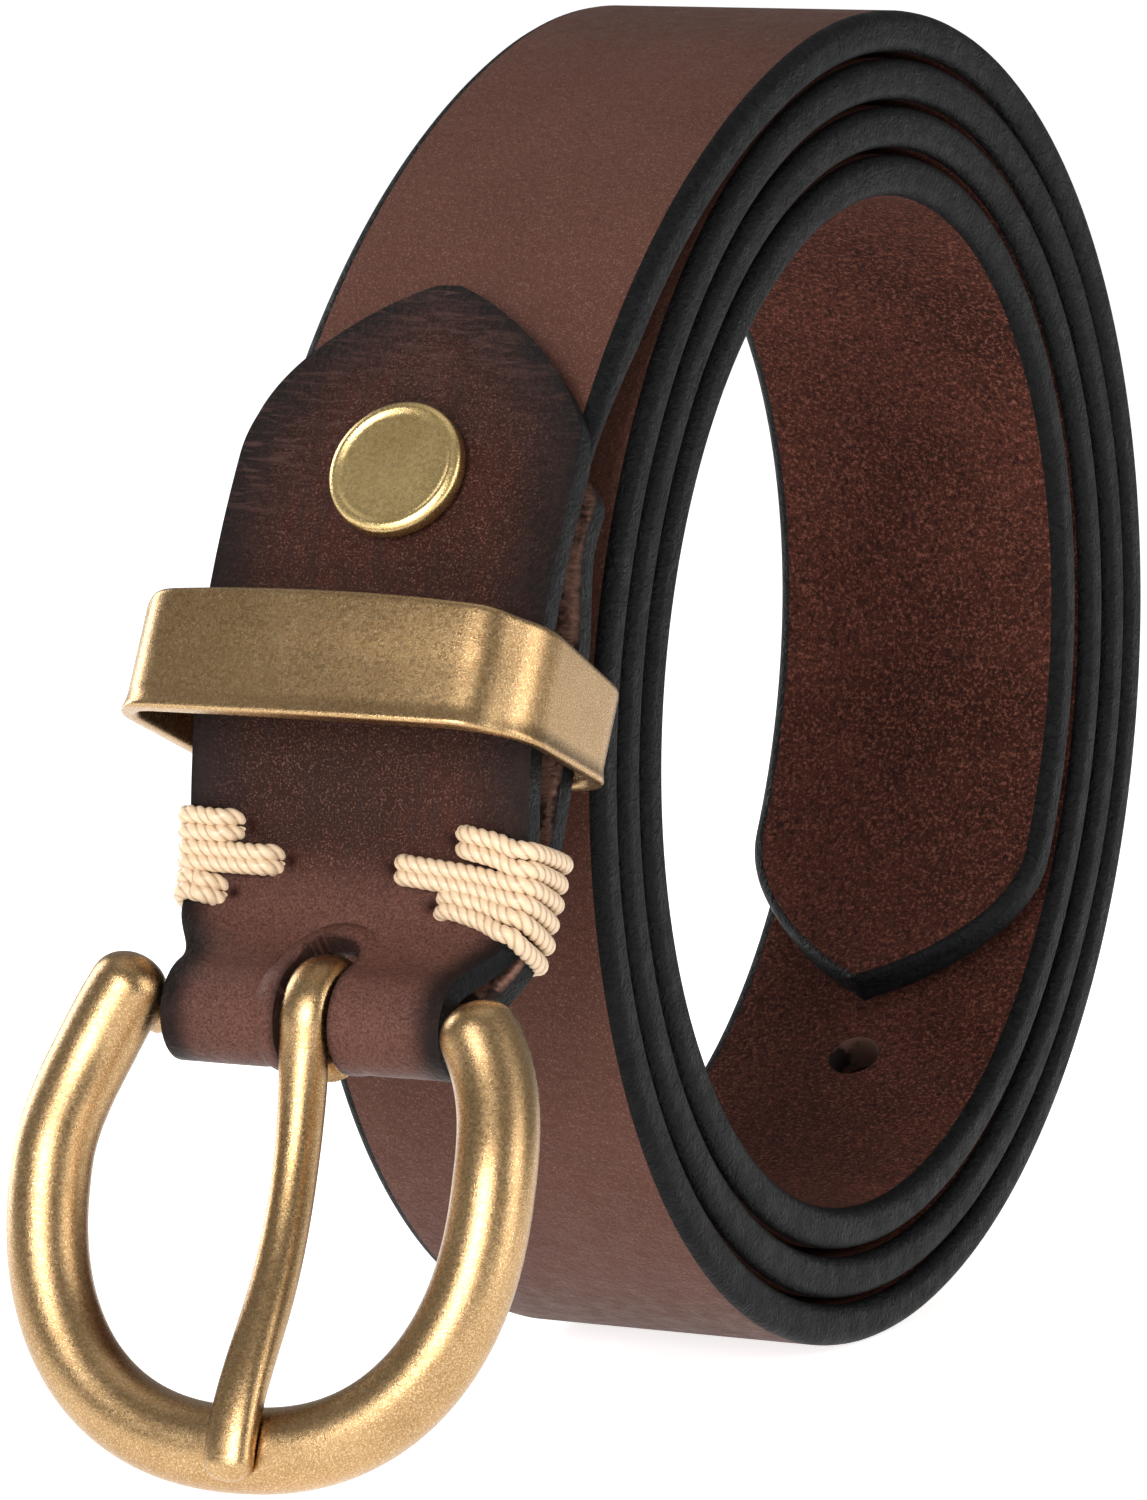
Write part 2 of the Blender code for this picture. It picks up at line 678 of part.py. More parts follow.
def make_rivet():
    """A two-part screw rivet: a flat cap with a barrel, and a screw from behind."""
    origin, axis = rivet_place()
    top = 2 * GAP + CHAPE_THICKNESS
    rim, brim = CAP_RADIUS, CAP_RADIUS - 0.0006
    stack = end_thickness(RIVET_SHARE) + 2 * GAP + FOLD_THICKNESS
    profile = (
        (SCREW_RADIUS + 0.0002, -stack + 0.0002),
        (BARREL_RADIUS, -stack + 0.0002),
        (BARREL_RADIUS, top),
        (brim, top),
        (rim, top + 0.0005),
        (rim, top + CAP_HEIGHT - 0.0006),
        (brim, top + CAP_HEIGHT),
        (brim - 0.0008, top + CAP_HEIGHT),
        (brim - 0.0012, top + CAP_HEIGHT - 0.0003),
        (0.0002, top + CAP_HEIGHT - 0.0003),
    )
    inside = ((0.0002, top - 0.0006), (SCREW_RADIUS + 0.0002, top - 0.0006))
    cap = new_object("rivet_cap", turned(inside + profile, origin, axis, 20), "brass", ANTIQUE_BRASS)

    head = -stack - GAP
    screw_profile = (
        (SCREW_HEAD_RADIUS - 0.0004, head - SCREW_HEAD_HEIGHT),
        (SCREW_HEAD_RADIUS, head - SCREW_HEAD_HEIGHT + 0.0004),
        (SCREW_HEAD_RADIUS, head),
        (SCREW_RADIUS, head),
        (SCREW_RADIUS, top - 0.0009),
    )
    screw = new_object(
        "rivet_screw", turned(screw_profile, origin, axis, 20), "brass", ANTIQUE_BRASS
    )
    return cap, screw


def rivet_bore_cutter():
    origin, axis = rivet_place()
    bore = BARREL_RADIUS + 0.0004
    return cutter("rivet_bore", turned(((bore, -0.0090), (bore, 0.0060)), origin, axis, 16))


def main():
    clear_scene()
    bore = rivet_bore_cutter()
    make_strap(bore)
    make_chape(bore)
    make_stitches()
    make_frame()
    make_prong()
    make_keeper()
    make_rivet()


main()
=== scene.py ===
"""The looks of a leather belt that stands on its rim in a loose coil, its buckle in front.

Metres, +Z up. The strap's width runs along X, and the buckle hangs on the -Y side. Places in the
coil's plane are (y, z) pairs measured from the coil's centre.
"""

import bisect
from math import copysign, cos, exp, hypot, pi, radians, sin, sqrt, tau

import bmesh
import bpy
import numpy as np
from mathutils import Matrix, Vector, noise


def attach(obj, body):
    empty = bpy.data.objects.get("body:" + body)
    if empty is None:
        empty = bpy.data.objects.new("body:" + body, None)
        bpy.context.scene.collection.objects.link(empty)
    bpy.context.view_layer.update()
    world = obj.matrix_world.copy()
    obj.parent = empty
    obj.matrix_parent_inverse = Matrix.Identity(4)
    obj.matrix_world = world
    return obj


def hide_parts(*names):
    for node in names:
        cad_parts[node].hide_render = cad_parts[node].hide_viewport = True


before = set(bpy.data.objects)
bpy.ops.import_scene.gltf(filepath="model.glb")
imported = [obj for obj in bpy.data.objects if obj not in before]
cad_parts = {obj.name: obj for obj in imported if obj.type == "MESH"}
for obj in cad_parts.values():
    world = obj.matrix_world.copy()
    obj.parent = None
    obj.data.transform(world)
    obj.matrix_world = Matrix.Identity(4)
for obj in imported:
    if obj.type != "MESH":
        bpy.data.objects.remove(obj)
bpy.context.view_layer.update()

# The belt's dimensions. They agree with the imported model, apart from details of under 1.5 mm.
STRAP_WIDTH = 0.032
STRAP_THICKNESS = 0.004
CHAPE_WIDTH = 0.0344
CHAPE_THICKNESS = 0.0026
COIL_RADIUS = 0.064
BAR_RADIUS = 0.0022
BAR_CLEARANCE = 0.00035
GAP = 0.0003

COIL_CENTRE = Vector((0.0, 0.0222, 0.0635))
TURN_PITCH = 0.0046
OVAL = 0.00095
OVAL_ANGLE = radians(66)
FIRST_ANGLE = radians(-50)
LEAVING_ANGLE = 3 * tau + radians(108)
TURN_SLACK = (0.0035, 0.0011, 0.0, 0.0)
SLACK_CENTRE = radians(-15)
SLACK_REACH = radians(110)
TIP_LENGTH = 0.0175
HOLE_COUNT = 7
FIRST_HOLE = 0.1243
HOLE_SPACING = 0.03175
HOLE_RADIUS = 0.0025
TIP_START = 0.00003
STRAP_STEP = 0.0017

STRAP_END = (-0.07155, 0.01475)
STRAP_END_LEAN = radians(22)
STRAP_END_THICKNESS = 0.0008
SKIVE_START = 0.6
TAB_START = 0.571
TAB_SKEW = 0.0016
TAB_SKEW_LENGTH = 0.015
TAB_LENGTH = 0.019
CHAPE_END_START = 0.72
CHAPE_LEAVES = 0.88
CHAPE_END_THICKNESS = 0.0011
CHAPE_END_LENGTH = 0.009
CHAPE_ROW_STEP = 0.00052
CHAPE_MARGIN = 0.0003
FOLD_THICKNESS = 0.0022
FOLD_HALF_WIDTH = 0.0141
FOLD_SHIFT = -0.0003
BAR_CENTRE = (-0.08395, -0.02155)
SEAM_FRONT = (-0.0769, -0.0075)
SEAM_BACK = (-0.0729, -0.0075)
RIVET_SHARE = 0.85
SLOT_HALF_WIDTH = 0.0027
SLOT_SHIFT = 0.0003  # undoes FOLD_SHIFT, so that the slot stays in the middle
SLOT_TOP = -0.0158
SLOT_SNAP = 0.00026  # corners this near the slot's outline move onto it
SLOT_RIM_REACH = 0.006
SLOT_RIM_ABOVE = 0.004
HOOK_BULGE = (0.0004, 0.0008)  # beside the slot, and above it
HOOK_GROOVE = 0.0003
SLIT_DIMPLE = 0.00065

FRAME_LEAN = radians(17)
FRAME_CENTRE = (-0.0937, -0.0344)
FRAME_TILT = radians(-0.7)
FRAME_SHIFT = -0.0006
FRAME_HALF_WIDTH = 0.0223
FRAME_HALF_HEIGHT = 0.0243
FRAME_SQUARENESS = 0.87
FRAME_RADIUS = 0.0039
FRAME_LEG_RADIUS = 0.0037
FRAME_END_ANGLE = radians(125)
FRAME_SETBACK = 0.0016
FRAME_LEFT_STRETCH = 1.17  # the left leg reaches higher than the right
FRAME_LEFT_INWARDS = 0.0006  # and its top leans towards the leather
FRAME_VOXEL = 0.0003
BAR_FLARE = 0.0005
BAR_SHOWS = 0.0146  # from here outwards the bar is bare

KEEPER_CENTRE = (-0.075, 0.0061)
KEEPER_LEAN = radians(26)
KEEPER_WIDTH = 0.0412
KEEPER_DEPTH = 0.0228
KEEPER_TOP = (0.005, 0.0055)
KEEPER_BOTTOM = (0.0038, 0.0057)
KEEPER_CROWN = (0.0013, 0.0005, 0.0003)
KEEPER_FLARE = 0.0005
KEEPER_WALL = 0.0017
KEEPER_LIP = 0.00045  # how far the front's lower edge is rolled outwards
KEEPER_CORNERS = (0.0058, 0.0042, 0.0035, 0.0048)  # front right, front left, then behind

PRONG_HALF_WIDTHS = (0.0023, 0.002, 0.0023)
PRONG_DEPTH = 0.0041
PRONG_WRAP_THICKNESS = 0.0032
PRONG_TIP_DEPTH = 0.0032
PRONG_ELBOW = (-0.0965, -0.044)
PRONG_TIP = (-0.1055, -0.0575)
PRONG_ASIDE = 0.0019  # how far its tip lies to the right of the middle
PRONG_STEP = 0.0006
PRONG_SEAT_ROOM = 0.00022

CAP_RADIUS = 0.0066
CAP_HEIGHT = 0.002
SCREW_HEAD_RADIUS = 0.0045
SCREW_HEAD_HEIGHT = 0.0011
SCREW_SLIT = (0.00045, 0.0005)  # half its width, and its depth

CORD_RADIUS = 0.0008
CORD_PLIES = 3
CORD_PITCH = 0.003
CORD_STEP = 0.00018
CORD_SIDES = 20
STRAND_APART = 0.00072  # half the height between the two strands of a stitch
STRAND_DROP = 0.0016  # how far a strand sinks on its way to the back

STAGE_REACH = 12.0
LIGHTS_TARGET = (0.0, -0.03, 0.07)
CAMERA_PLACE = (0.36105, -0.72145, 0.15855)
CAMERA_TARGET = (0.0, -0.01315, 0.0608)
CAMERA_LENS_MM = 267.1

SIDE = Vector((1.0, 0.0, 0.0))
SQUARE = ((-1, -1), (1, -1), (1, 1), (-1, 1))


# Small sums


def blend(first, second, share):
    return first + (second - first) * share


def eased(share):
    """A share kept from 0 to 1, with a soft start and end."""
    share = min(max(share, 0.0), 1.0)
    return share * share * (3 - 2 * share)


def hump(distance, reach):
    """1 at no distance, falling smoothly to almost nothing at twice the reach."""
    return exp(-((distance / reach) ** 2))


def evenly(count):
    return [i / count for i in range(count + 1)]


def in_plane(y, z):
    return Vector((0.0, y, z))


def lean_direction(angle):
    """The unit vector that points down and leans outwards by this angle."""
    return in_plane(-sin(angle), -cos(angle))


def outward(direction):
    """The normal on the outer side of a path that runs down the belt's front."""
    return Vector((0.0, direction.z, -direction.y)).normalized()


def curve_between(start, start_direction, end, end_direction, shares, pull=1.0):
    """Points of a cubic that leaves start and reaches end along the given unit directions."""
    reach = (end - start).length * pull
    return [
        start * (2 * t**3 - 3 * t**2 + 1)
        + start_direction * (reach * (t**3 - 2 * t**2 + t))
        + end * (3 * t**2 - 2 * t**3)
        + end_direction * (reach * (t**3 - t**2))
        for t in shares
    ]


def through(points):
    """A smooth line through points, with 24 steps between each two."""
    padded = [2 * points[0] - points[1], *points, 2 * points[-1] - points[-2]]
    line = []
    for a, b, c, d in zip(padded, padded[1:], padded[2:], padded[3:]):
        square, cube = 2 * a - 5 * b + 4 * c - d, 3 * b - a - 3 * c + d
        for t in evenly(24)[:-1]:
            line.append(0.5 * (2 * b + (c - a) * t + square * t**2 + cube * t**3))
    return line + [points[-1].copy()]


class Path:
    """A line in space that is read by the distance from its start."""

    def __init__(self, points):
        self.points = points
        self.lengths = [0.0]
        for before, after in zip(points, points[1:]):
            self.lengths.append(self.lengths[-1] + (after - before).length)
        self.total = self.lengths[-1]

    def read(self, values, length):
        """The value at a length, from one value for each of the path's points."""
        length = min(max(length, 0.0), self.total)
        i = min(max(bisect.bisect_left(self.lengths, length), 1), len(self.lengths) - 1)
        span = self.lengths[i] - self.lengths[i - 1]
        share = (length - self.lengths[i - 1]) / span if span > 0 else 0.0
        return blend(values[i - 1], values[i], share)

    def point(self, length):
        return self.read(self.points, length)

    def direction(self, length, reach=0.0003):
        return (self.point(length + reach) - self.point(length - reach)).normalized()


# Lines of the belt, all measured from the coil's centre


def coil_point(angle):
    """A point of the strap's outer face; the angle grows from the strap's point."""
    turns = angle / tau
    turn = min(int((angle + pi) // tau), len(TURN_SLACK) - 1)
    facing = (angle + pi) % tau - pi
    nearness = max(0.0, 1 - abs(facing - SLACK_CENTRE) / SLACK_REACH)
    slack = TURN_SLACK[turn] * eased(nearness)
    oval = OVAL * cos(2 * (angle - OVAL_ANGLE))
    radius = COIL_RADIUS + TURN_PITCH * (turns - 3) + oval - slack
    return in_plane(radius * cos(angle), radius * sin(angle))


def end_face(shares):
    """The strap's outer face between the coil and its hidden end behind the tab."""
    start = coil_point(LEAVING_ANGLE)
    start_direction = (start - coil_point(LEAVING_ANGLE - 0.01)).normalized()
    end = in_plane(*STRAP_END)
    return curve_between(start, start_direction, end, lean_direction(STRAP_END_LEAN), shares, 1.05)


def end_thickness(share):
    pared = max(0.0, share - SKIVE_START) / (1 - SKIVE_START)
    return blend(STRAP_THICKNESS, STRAP_END_THICKNESS, pared)


def pointed_half_width(distance, length, full):
    if distance >= length:
        return full
    return full * sin(pi / 2 * max(distance, 0.0) / length) ** 0.75


def normals_along(points):
    path = Path(points)
    return [outward(path.direction(length)) for length in path.lengths]


def fold_point(angle, radius):
    """A point round the bar: 0 is its front, and the angle grows towards its top."""
    return in_plane(*BAR_CENTRE) + in_plane(-radius * cos(angle), radius * sin(angle))


def chape_path():
    """The middle of the folded leather from the tab's point to its end, and where its fold is."""
    face = end_face([blend(TAB_START, 1.0, t) for t in evenly(60)])
    lift = GAP + CHAPE_THICKNESS / 2
    tab = [point + normal * lift for point, normal in zip(face, normals_along(face))]
    leaning, upright = lean_direction(STRAP_END_LEAN), lean_direction(0.0)
    below = curve_between(tab[-1], leaning, in_plane(*SEAM_FRONT), upright, evenly(24))
    front = tab + below[1:]

    radius = BAR_RADIUS + BAR_CLEARANCE + FOLD_THICKNESS / 2
    first, last = radians(75), radians(-154)
    fold = [fold_point(blend(first, last, t), radius) for t in evenly(40)]
    into, leaving = lean_direction(first), lean_direction(last)
    neck = curve_between(front[-1], upright, fold[0], into, evenly(24), 1.15)

    shares = [blend(CHAPE_END_START, CHAPE_LEAVES, t) for t in evenly(24)]
    face = end_face(shares)
    behind = [
        point - normal * (end_thickness(share) + GAP + FOLD_THICKNESS / 2)
        for point, normal, share in zip(face, normals_along(face), shares)
    ]
    behind.reverse()
    seam, middle = in_plane(*SEAM_BACK), in_plane(-0.0672, 0.0095)
    upwards, steeper = -lean_direction(radians(24)), -lean_direction(radians(17))
    lower = curve_between(seam, upwards, middle, steeper, evenly(20))
    towards = (behind[1] - behind[0]).normalized()
    upper = curve_between(middle, steeper, behind[0], towards, evenly(20))
    rise = curve_between(fold[-1], leaving, seam, upwards, evenly(20))

    points = front + neck[1:] + fold[1:] + rise[1:] + lower[1:] + upper[1:] + behind[1:]
    path = Path(points)
    fold_start = len(front) + len(neck) - 2
    return path, path.lengths[fold_start], path.lengths[fold_start + len(fold) - 1]


def frame_point(angle):
    down = lean_direction(FRAME_LEAN)
    across, below = sin(angle), cos(angle)
    if below > 0:
        across = copysign(abs(across) ** FRAME_SQUARENESS, across)
        below = below**FRAME_SQUARENESS
    elif across < 0:
        below *= FRAME_LEFT_STRETCH
    height = FRAME_HALF_HEIGHT * below
    point = in_plane(*FRAME_CENTRE) + down * height
    point += SIDE * (FRAME_SHIFT + FRAME_HALF_WIDTH * across)
    set_back = FRAME_SETBACK * eased(-height / (0.5 * FRAME_HALF_HEIGHT))
    point -= outward(down) * set_back
    if across < 0:
        point += SIDE * (FRAME_LEFT_INWARDS * eased(-height / (0.7 * FRAME_HALF_HEIGHT)))
    bar = in_plane(*BAR_CENTRE)
    return bar + Matrix.Rotation(FRAME_TILT, 3, "Y") @ (point - bar)


def prong_offset(z):
    return PRONG_ASIDE * eased((BAR_CENTRE[1] - z) / (BAR_CENTRE[1] - PRONG_TIP[1]))


def prong_line():
    """The prong's middle line from its hook to its tip, and the hook's length."""
    wrap = BAR_RADIUS + BAR_CLEARANCE + PRONG_WRAP_THICKNESS / 2
    steps = 54
    hook = [fold_point(radians(270) * (1 - t), wrap) for t in evenly(steps)]
    elbow, tip = in_plane(*PRONG_ELBOW), in_plane(*PRONG_TIP)
    leaning = lean_direction(radians(37))
    shank = curve_between(hook[-1], lean_direction(0.0), elbow, leaning, evenly(40))
    end = curve_between(elbow, leaning, tip, lean_direction(radians(12)), evenly(40))
    path = Path(hook + shank[1:] + end[1:])
    return path, path.lengths[steps]


def rivet_place():
    """The rivet's point on the strap's outer face, and the outward normal there."""
    face = end_face([RIVET_SHARE - 0.001, RIVET_SHARE, RIVET_SHARE + 0.001])
    return COIL_CENTRE + face[1], outward((face[2] - face[0]).normalized())


# Mesh building


def put_in_scene(name, data):
    obj = bpy.data.objects.new(name, data)
    bpy.context.scene.collection.objects.link(obj)
    return obj


def new_object(name, vertices, faces, slots=None, uvs=None, layers=None):
    """A smooth-shaded mesh object; slots and uvs go face by face, layers hold vertex values."""
    mesh = bpy.data.meshes.new(name)
    mesh.from_pydata(vertices, [], faces)
    if slots is not None:
        mesh.polygons.foreach_set("material_index", slots)
    if uvs is not None:
        layer = mesh.uv_layers.new(name="along_across")
        layer.data.foreach_set("uv", [value for corners in uvs for uv in corners for value in uv])
    for key, values in (layers or {}).items():
        mesh.attributes.new(key, "FLOAT", "POINT").data.foreach_set("value", values)
    mesh.shade_smooth()
    return put_in_scene(name, mesh)


def loft(name, rings, along=None, around=None, edge_slots=None, closed=False, layers=None, cap_slot=0):
    """A closed surface through rings of points, with UVs of length along and length around."""
    count = len(rings[0])
    along = along or range(len(rings))
    around = around or range(count + 1)
    vertices = [point for ring in rings for point in ring]
    faces, slots, uvs = [], [], []
    last = len(rings) if closed else len(rings) - 1
    for i in range(last):
        k = (i + 1) % len(rings)
        step = along[i + 1] if i + 1 < len(along) else 2 * along[i] - along[i - 1]
        for j in range(count):
            n = (j + 1) % count
            faces.append((i * count + j, i * count + n, k * count + n, k * count + j))
            slots.append(edge_slots[j] if edge_slots else 0)
            uvs.append(((along[i], around[j]), (along[i], around[j + 1]),
                        (step, around[j + 1]), (step, around[j])))
    if not closed:
        for first, order in ((0, range(count - 1, -1, -1)), ((len(rings) - 1) * count, range(count))):
            faces.append(tuple(first + j for j in order))
            slots.append(cap_slot)
            uvs.append(tuple((along[0], 0.0) for _ in range(count)))
    made = new_object(name, vertices, faces, slots, uvs, layers)
    outside = bmesh.new()
    outside.from_mesh(made.data)
    bmesh.ops.recalc_face_normals(outside, faces=outside.faces)
    outside.to_mesh(made.data)
    outside.free()
    return made


def oval_ring(centre, side, up, side_radius, up_radius, count, power=2.0):
    """A ring of points; a power over 2 makes it squarer."""
    ring = []
    for i in range(count):
        angle = tau * i / count
        c, s = cos(angle), sin(angle)
        across = copysign(abs(c) ** (2 / power), c) * side_radius
        above = copysign(abs(s) ** (2 / power), s) * up_radius
        ring.append(centre + side * across + up * above)
    return ring


def turned(name, profile, origin, axis, count=72):
    """A solid of revolution from (radius, height) pairs along the axis."""
    up = axis.cross(SIDE)
    rings = [oval_ring(origin + axis * h, SIDE, up, r, r, count) for r, h in profile]
    return loft(name, rings)


def rounded(profile, radius, steps):
    """The same line of (a, b) pairs with each inner corner rounded."""
    line = [profile[0]]
    for before, corner, after in zip(profile, profile[1:], profile[2:]):
        back = Vector(before) - Vector(corner)
        ahead = Vector(after) - Vector(corner)
        size = min(radius, 0.45 * back.length, 0.45 * ahead.length)
        start = Vector(corner) + back.normalized() * size
        end = Vector(corner) + ahead.normalized() * size
        for t in evenly(steps):
            point = start * (1 - t) ** 2 + Vector(corner) * (2 * t * (1 - t)) + end * t**2
            line.append((point.x, point.y))
    return line + [profile[-1]]


def add_modifier(obj, kind, **settings):
    step = obj.modifiers.new(kind.lower(), kind)
    for key, value in settings.items():
        setattr(step, key, value)
    return step


def apply_modifiers(obj):
    """Bakes an object's modifiers into its mesh."""
    bpy.context.view_layer.update()
    graph = bpy.context.evaluated_depsgraph_get()
    done = bpy.data.meshes.new_from_object(obj.evaluated_get(graph))
    obj.modifiers.clear()
    obj.data = done


def remove(obj):
    bpy.data.objects.remove(obj, do_unlink=True)


def coat(obj, *materials):
    for made in materials:
        obj.data.materials.append(made)


# Materials


class Shader:
    """A material's node tree, with short calls for the nodes used here."""

    def __init__(self, name):
        self.material = bpy.data.materials.new(name)
        self.material.use_nodes = True
        self.nodes = self.material.node_tree.nodes
        self.links = self.material.node_tree.links
        self.surface = self.nodes["Principled BSDF"]
        self.place = self.add("TexCoord")["Object"]

    def add(self, kind, inputs=None, **settings):
        """Adds a node, feeds its inputs by name or number, and gives its outputs."""
        node = self.nodes.new("ShaderNode" + kind)
        for key, value in settings.items():
            setattr(node, key, value)
        for key, value in (inputs or {}).items():
            self.feed(node.inputs[key], value)
        return node.outputs

    def feed(self, socket, value):
        if isinstance(value, bpy.types.NodeSocket):
            self.links.new(value, socket)
        else:
            socket.default_value = value

    def set(self, **values):
        """Sets or links the surface's inputs, named with underscores for spaces."""
        for key, value in values.items():
            self.feed(self.surface.inputs[key.replace("_", " ")], value)

    def feeding(self, key):
        """What is linked to one of the surface's inputs."""
        return self.surface.inputs[key].links[0].from_socket

    def noise(self, scale, detail=3.0, roughness=0.55, at=None, distortion=0.0):
        inputs = {"Vector": at or self.place, "Scale": scale, "Detail": detail,
                  "Roughness": roughness, "Distortion": distortion}
        return self.add("TexNoise", inputs)["Fac"]

    def cells(self, scale):
        return self.add("TexVoronoi", {"Vector": self.place, "Scale": scale})["Distance"]

    def stretched(self, x, y):
        """The length along and across the piece, scaled for a grain that runs one way."""
        source = self.add("UVMap", uv_map="along_across")["UV"]
        return self.add("Mapping", {"Vector": source, "Scale": (x, y, 1.0)})["Vector"]

    def layer(self, key):
        return self.add("Attribute", attribute_name=key)["Fac"]

    def span(self, value, low, high, out_low=0.0, out_high=1.0):
        inputs = {"Value": value, "From Min": low, "From Max": high,
                  "To Min": out_low, "To Max": out_high}
        return self.add("MapRange", inputs)["Result"]

    def drift(self, scale, low, high, detail=3):
        """A value that wanders between low and high."""
        return self.span(self.noise(scale, detail), 0.3, 0.7, low, high)

    def sum(self, operation, a, b):
        return self.add("Math", {0: a, 1: b}, operation=operation)["Value"]

    def mix(self, share, a, b):
        """A colour between a and b; each is a socket or (red, green, blue)."""
        a, b = (c if isinstance(c, bpy.types.NodeSocket) else (*c, 1.0) for c in (a, b))
        return self.add("Mix", {"Factor": share, 6: a, 7: b}, data_type="RGBA")[2]

    def bump(self, height, distance, strength=1.0, under=None):
        inputs = {"Height": height, "Distance": distance, "Strength": strength}
        if under:
            inputs["Normal"] = under
        return self.add("Bump", inputs)["Normal"]


BLACK_DYE = (0.006, 0.006, 0.0065)


def smooth_leather(name, dark, light, fleck, dye_reach, dye_strength):
    """Smooth-grain leather: mottled dye, fine flecks, pores, and black dye along the edges."""
    s = Shader(name)
    broad = s.span(s.noise(38, 3), 0.3, 0.7, 0.15, 0.85)
    fine = s.span(s.noise(1500, 3, 0.75), 0.38, 0.64, 0.0, 0.55)
    colour = s.mix(fine, s.mix(broad, dark, light), dark)
    flecks = s.span(s.noise(5200, 2, 0.6), 0.54, 0.7, 0.0, 0.6)
    colour = s.mix(flecks, colour, fleck)
    ragged = s.sum("ADD", s.layer("edge"), s.drift(380, -0.0007, 0.0007))
    colour = s.mix(s.span(ragged, 0.0002, dye_reach, dye_strength, 0.0), colour, BLACK_DYE)
    pores = s.bump(s.noise(2600, 4, 0.7), 0.000128)
    relief = s.bump(s.cells(1300), 0.000096, 0.8, pores)
    s.set(Base_Color=colour, Normal=relief)
    s.set(Roughness=s.drift(500, 0.4, 0.58))
    s.set(Specular_IOR_Level=0.1, Specular_Tint=(1.0, 0.72, 0.62, 1.0))
    return s


def tread_leather():
    return smooth_leather(
        "tread_leather", (0.066, 0.026, 0.018), (0.108, 0.046, 0.033), (0.24, 0.125, 0.095),
        dye_reach=0.001, dye_strength=0.8,
    ).material


def chape_leather():
    """Darker, with wrinkles across it near the tab's point, a painted highlight on its lower part and
    round the fold, and painted shade at the stitch slits.
    """
    s = smooth_leather(
        "chape_leather", (0.011, 0.0042, 0.0032), (0.056, 0.017, 0.0115), (0.2, 0.095, 0.07),
        dye_reach=0.007, dye_strength=0.97,
    )
    s.set(Roughness=s.drift(500, 0.34, 0.5), Specular_IOR_Level=0.11)
    across = s.noise(1.0, 4, 0.6, s.stretched(1500, 230), 1.2)
    s.set(Normal=s.bump(across, 0.00016, s.layer("wrinkle"), s.feeding("Normal")))
    worn = s.span(across, 0.5, 0.72, 0.0, 0.55)
    worn = s.sum("MULTIPLY", worn, s.layer("wrinkle"))
    base = s.mix(worn, s.feeding("Base Color"), (0.09, 0.044, 0.036))
    rubbed = s.span(s.noise(1.0, 3, 0.6, s.stretched(110, 900), 0.5), 0.5, 0.68, 0.0, 0.55)
    base = s.mix(rubbed, base, (0.018, 0.01, 0.009))
    # painted highlight: a lighter brown, broken up by noise, over the lower front, the fold and the
    # back, fading near the edges
    highlight_mottle = s.span(s.noise(4200, 3, 0.75), 0.36, 0.64, 0.15, 0.75)
    fold_highlight = s.sum("MULTIPLY", s.layer("fold_highlight"), highlight_mottle)
    base = s.mix(fold_highlight, base, (0.165, 0.074, 0.056))
    # painted shade: near-black round the stitch slits, where the strands go into the leather
    s.set(Base_Color=s.mix(s.span(s.layer("dark_patch"), 0.2, 0.75), base, (0.016, 0.004, 0.003)))
    return s.material


def edge_paint():
    """Black edge paint over pressed fibres, with a fine relief across the strap's thickness."""
    s = Shader("edge_paint")
    dents = s.noise(1150, 3, 0.6, None, 1.2)
    grains = s.noise(2800, 3, 0.7)
    colour = s.mix(s.span(dents, 0.3, 0.75), (0.002, 0.002, 0.0022), (0.0085, 0.0087, 0.0092))
    relief = s.bump(dents, 0.00034)
    relief = s.bump(grains, 0.00009, 0.8, relief)
    relief = s.bump(s.noise(150, 2), 0.00025, 0.5, relief)
    s.set(Base_Color=colour, Normal=relief, Specular_IOR_Level=0.08)
    s.set(Roughness=s.drift(420, 0.4, 0.56))
    return s.material


def flesh_side():
    """The strap's back: dyed, close-cropped nap with light specks."""
    s = Shader("flesh_side")
    broad = s.span(s.noise(60, 4), 0.35, 0.68)
    colour = s.mix(broad, (0.034, 0.01, 0.0065), (0.066, 0.02, 0.0135))
    specks = s.span(s.noise(2700, 3, 0.8), 0.5, 0.64, 0.0, 0.65)
    colour = s.mix(specks, colour, (0.25, 0.092, 0.06))
    pits = s.span(s.noise(1700, 3, 0.7), 0.36, 0.5, 0.8, 0.0)
    colour = s.mix(pits, colour, (0.014, 0.006, 0.005))
    colour = s.mix(s.span(s.layer("edge"), 0.0, 0.0006, 0.7, 0.0), colour, BLACK_DYE)
    relief = s.bump(s.noise(2200, 4, 0.75), 0.0002)
    s.set(Base_Color=colour, Normal=relief, Roughness=0.8, Specular_IOR_Level=0.06)
    return s.material


def raw_flesh(name, dye_strength):
    """Undyed fibres, stained black here and there and near the leather's edges."""
    s = Shader(name)
    fibres = s.noise(1.0, 5, 0.7, s.stretched(1300, 420), 1.5)
    colour = s.mix(s.span(fibres, 0.3, 0.7), (0.115, 0.052, 0.036), (0.4, 0.22, 0.16))
    dark_patch = s.span(s.noise(260, 4, 0.6), 0.52, 0.6, 0.0, 0.9)
    colour = s.mix(dark_patch, colour, BLACK_DYE)
    colour = s.mix(s.span(s.layer("edge"), 0.0, 0.0007, dye_strength, 0.0), colour, BLACK_DYE)
    s.set(Base_Color=colour, Normal=s.bump(fibres, 0.0004), Roughness=0.85)
    s.set(Specular_IOR_Level=0.2)
    return s.material


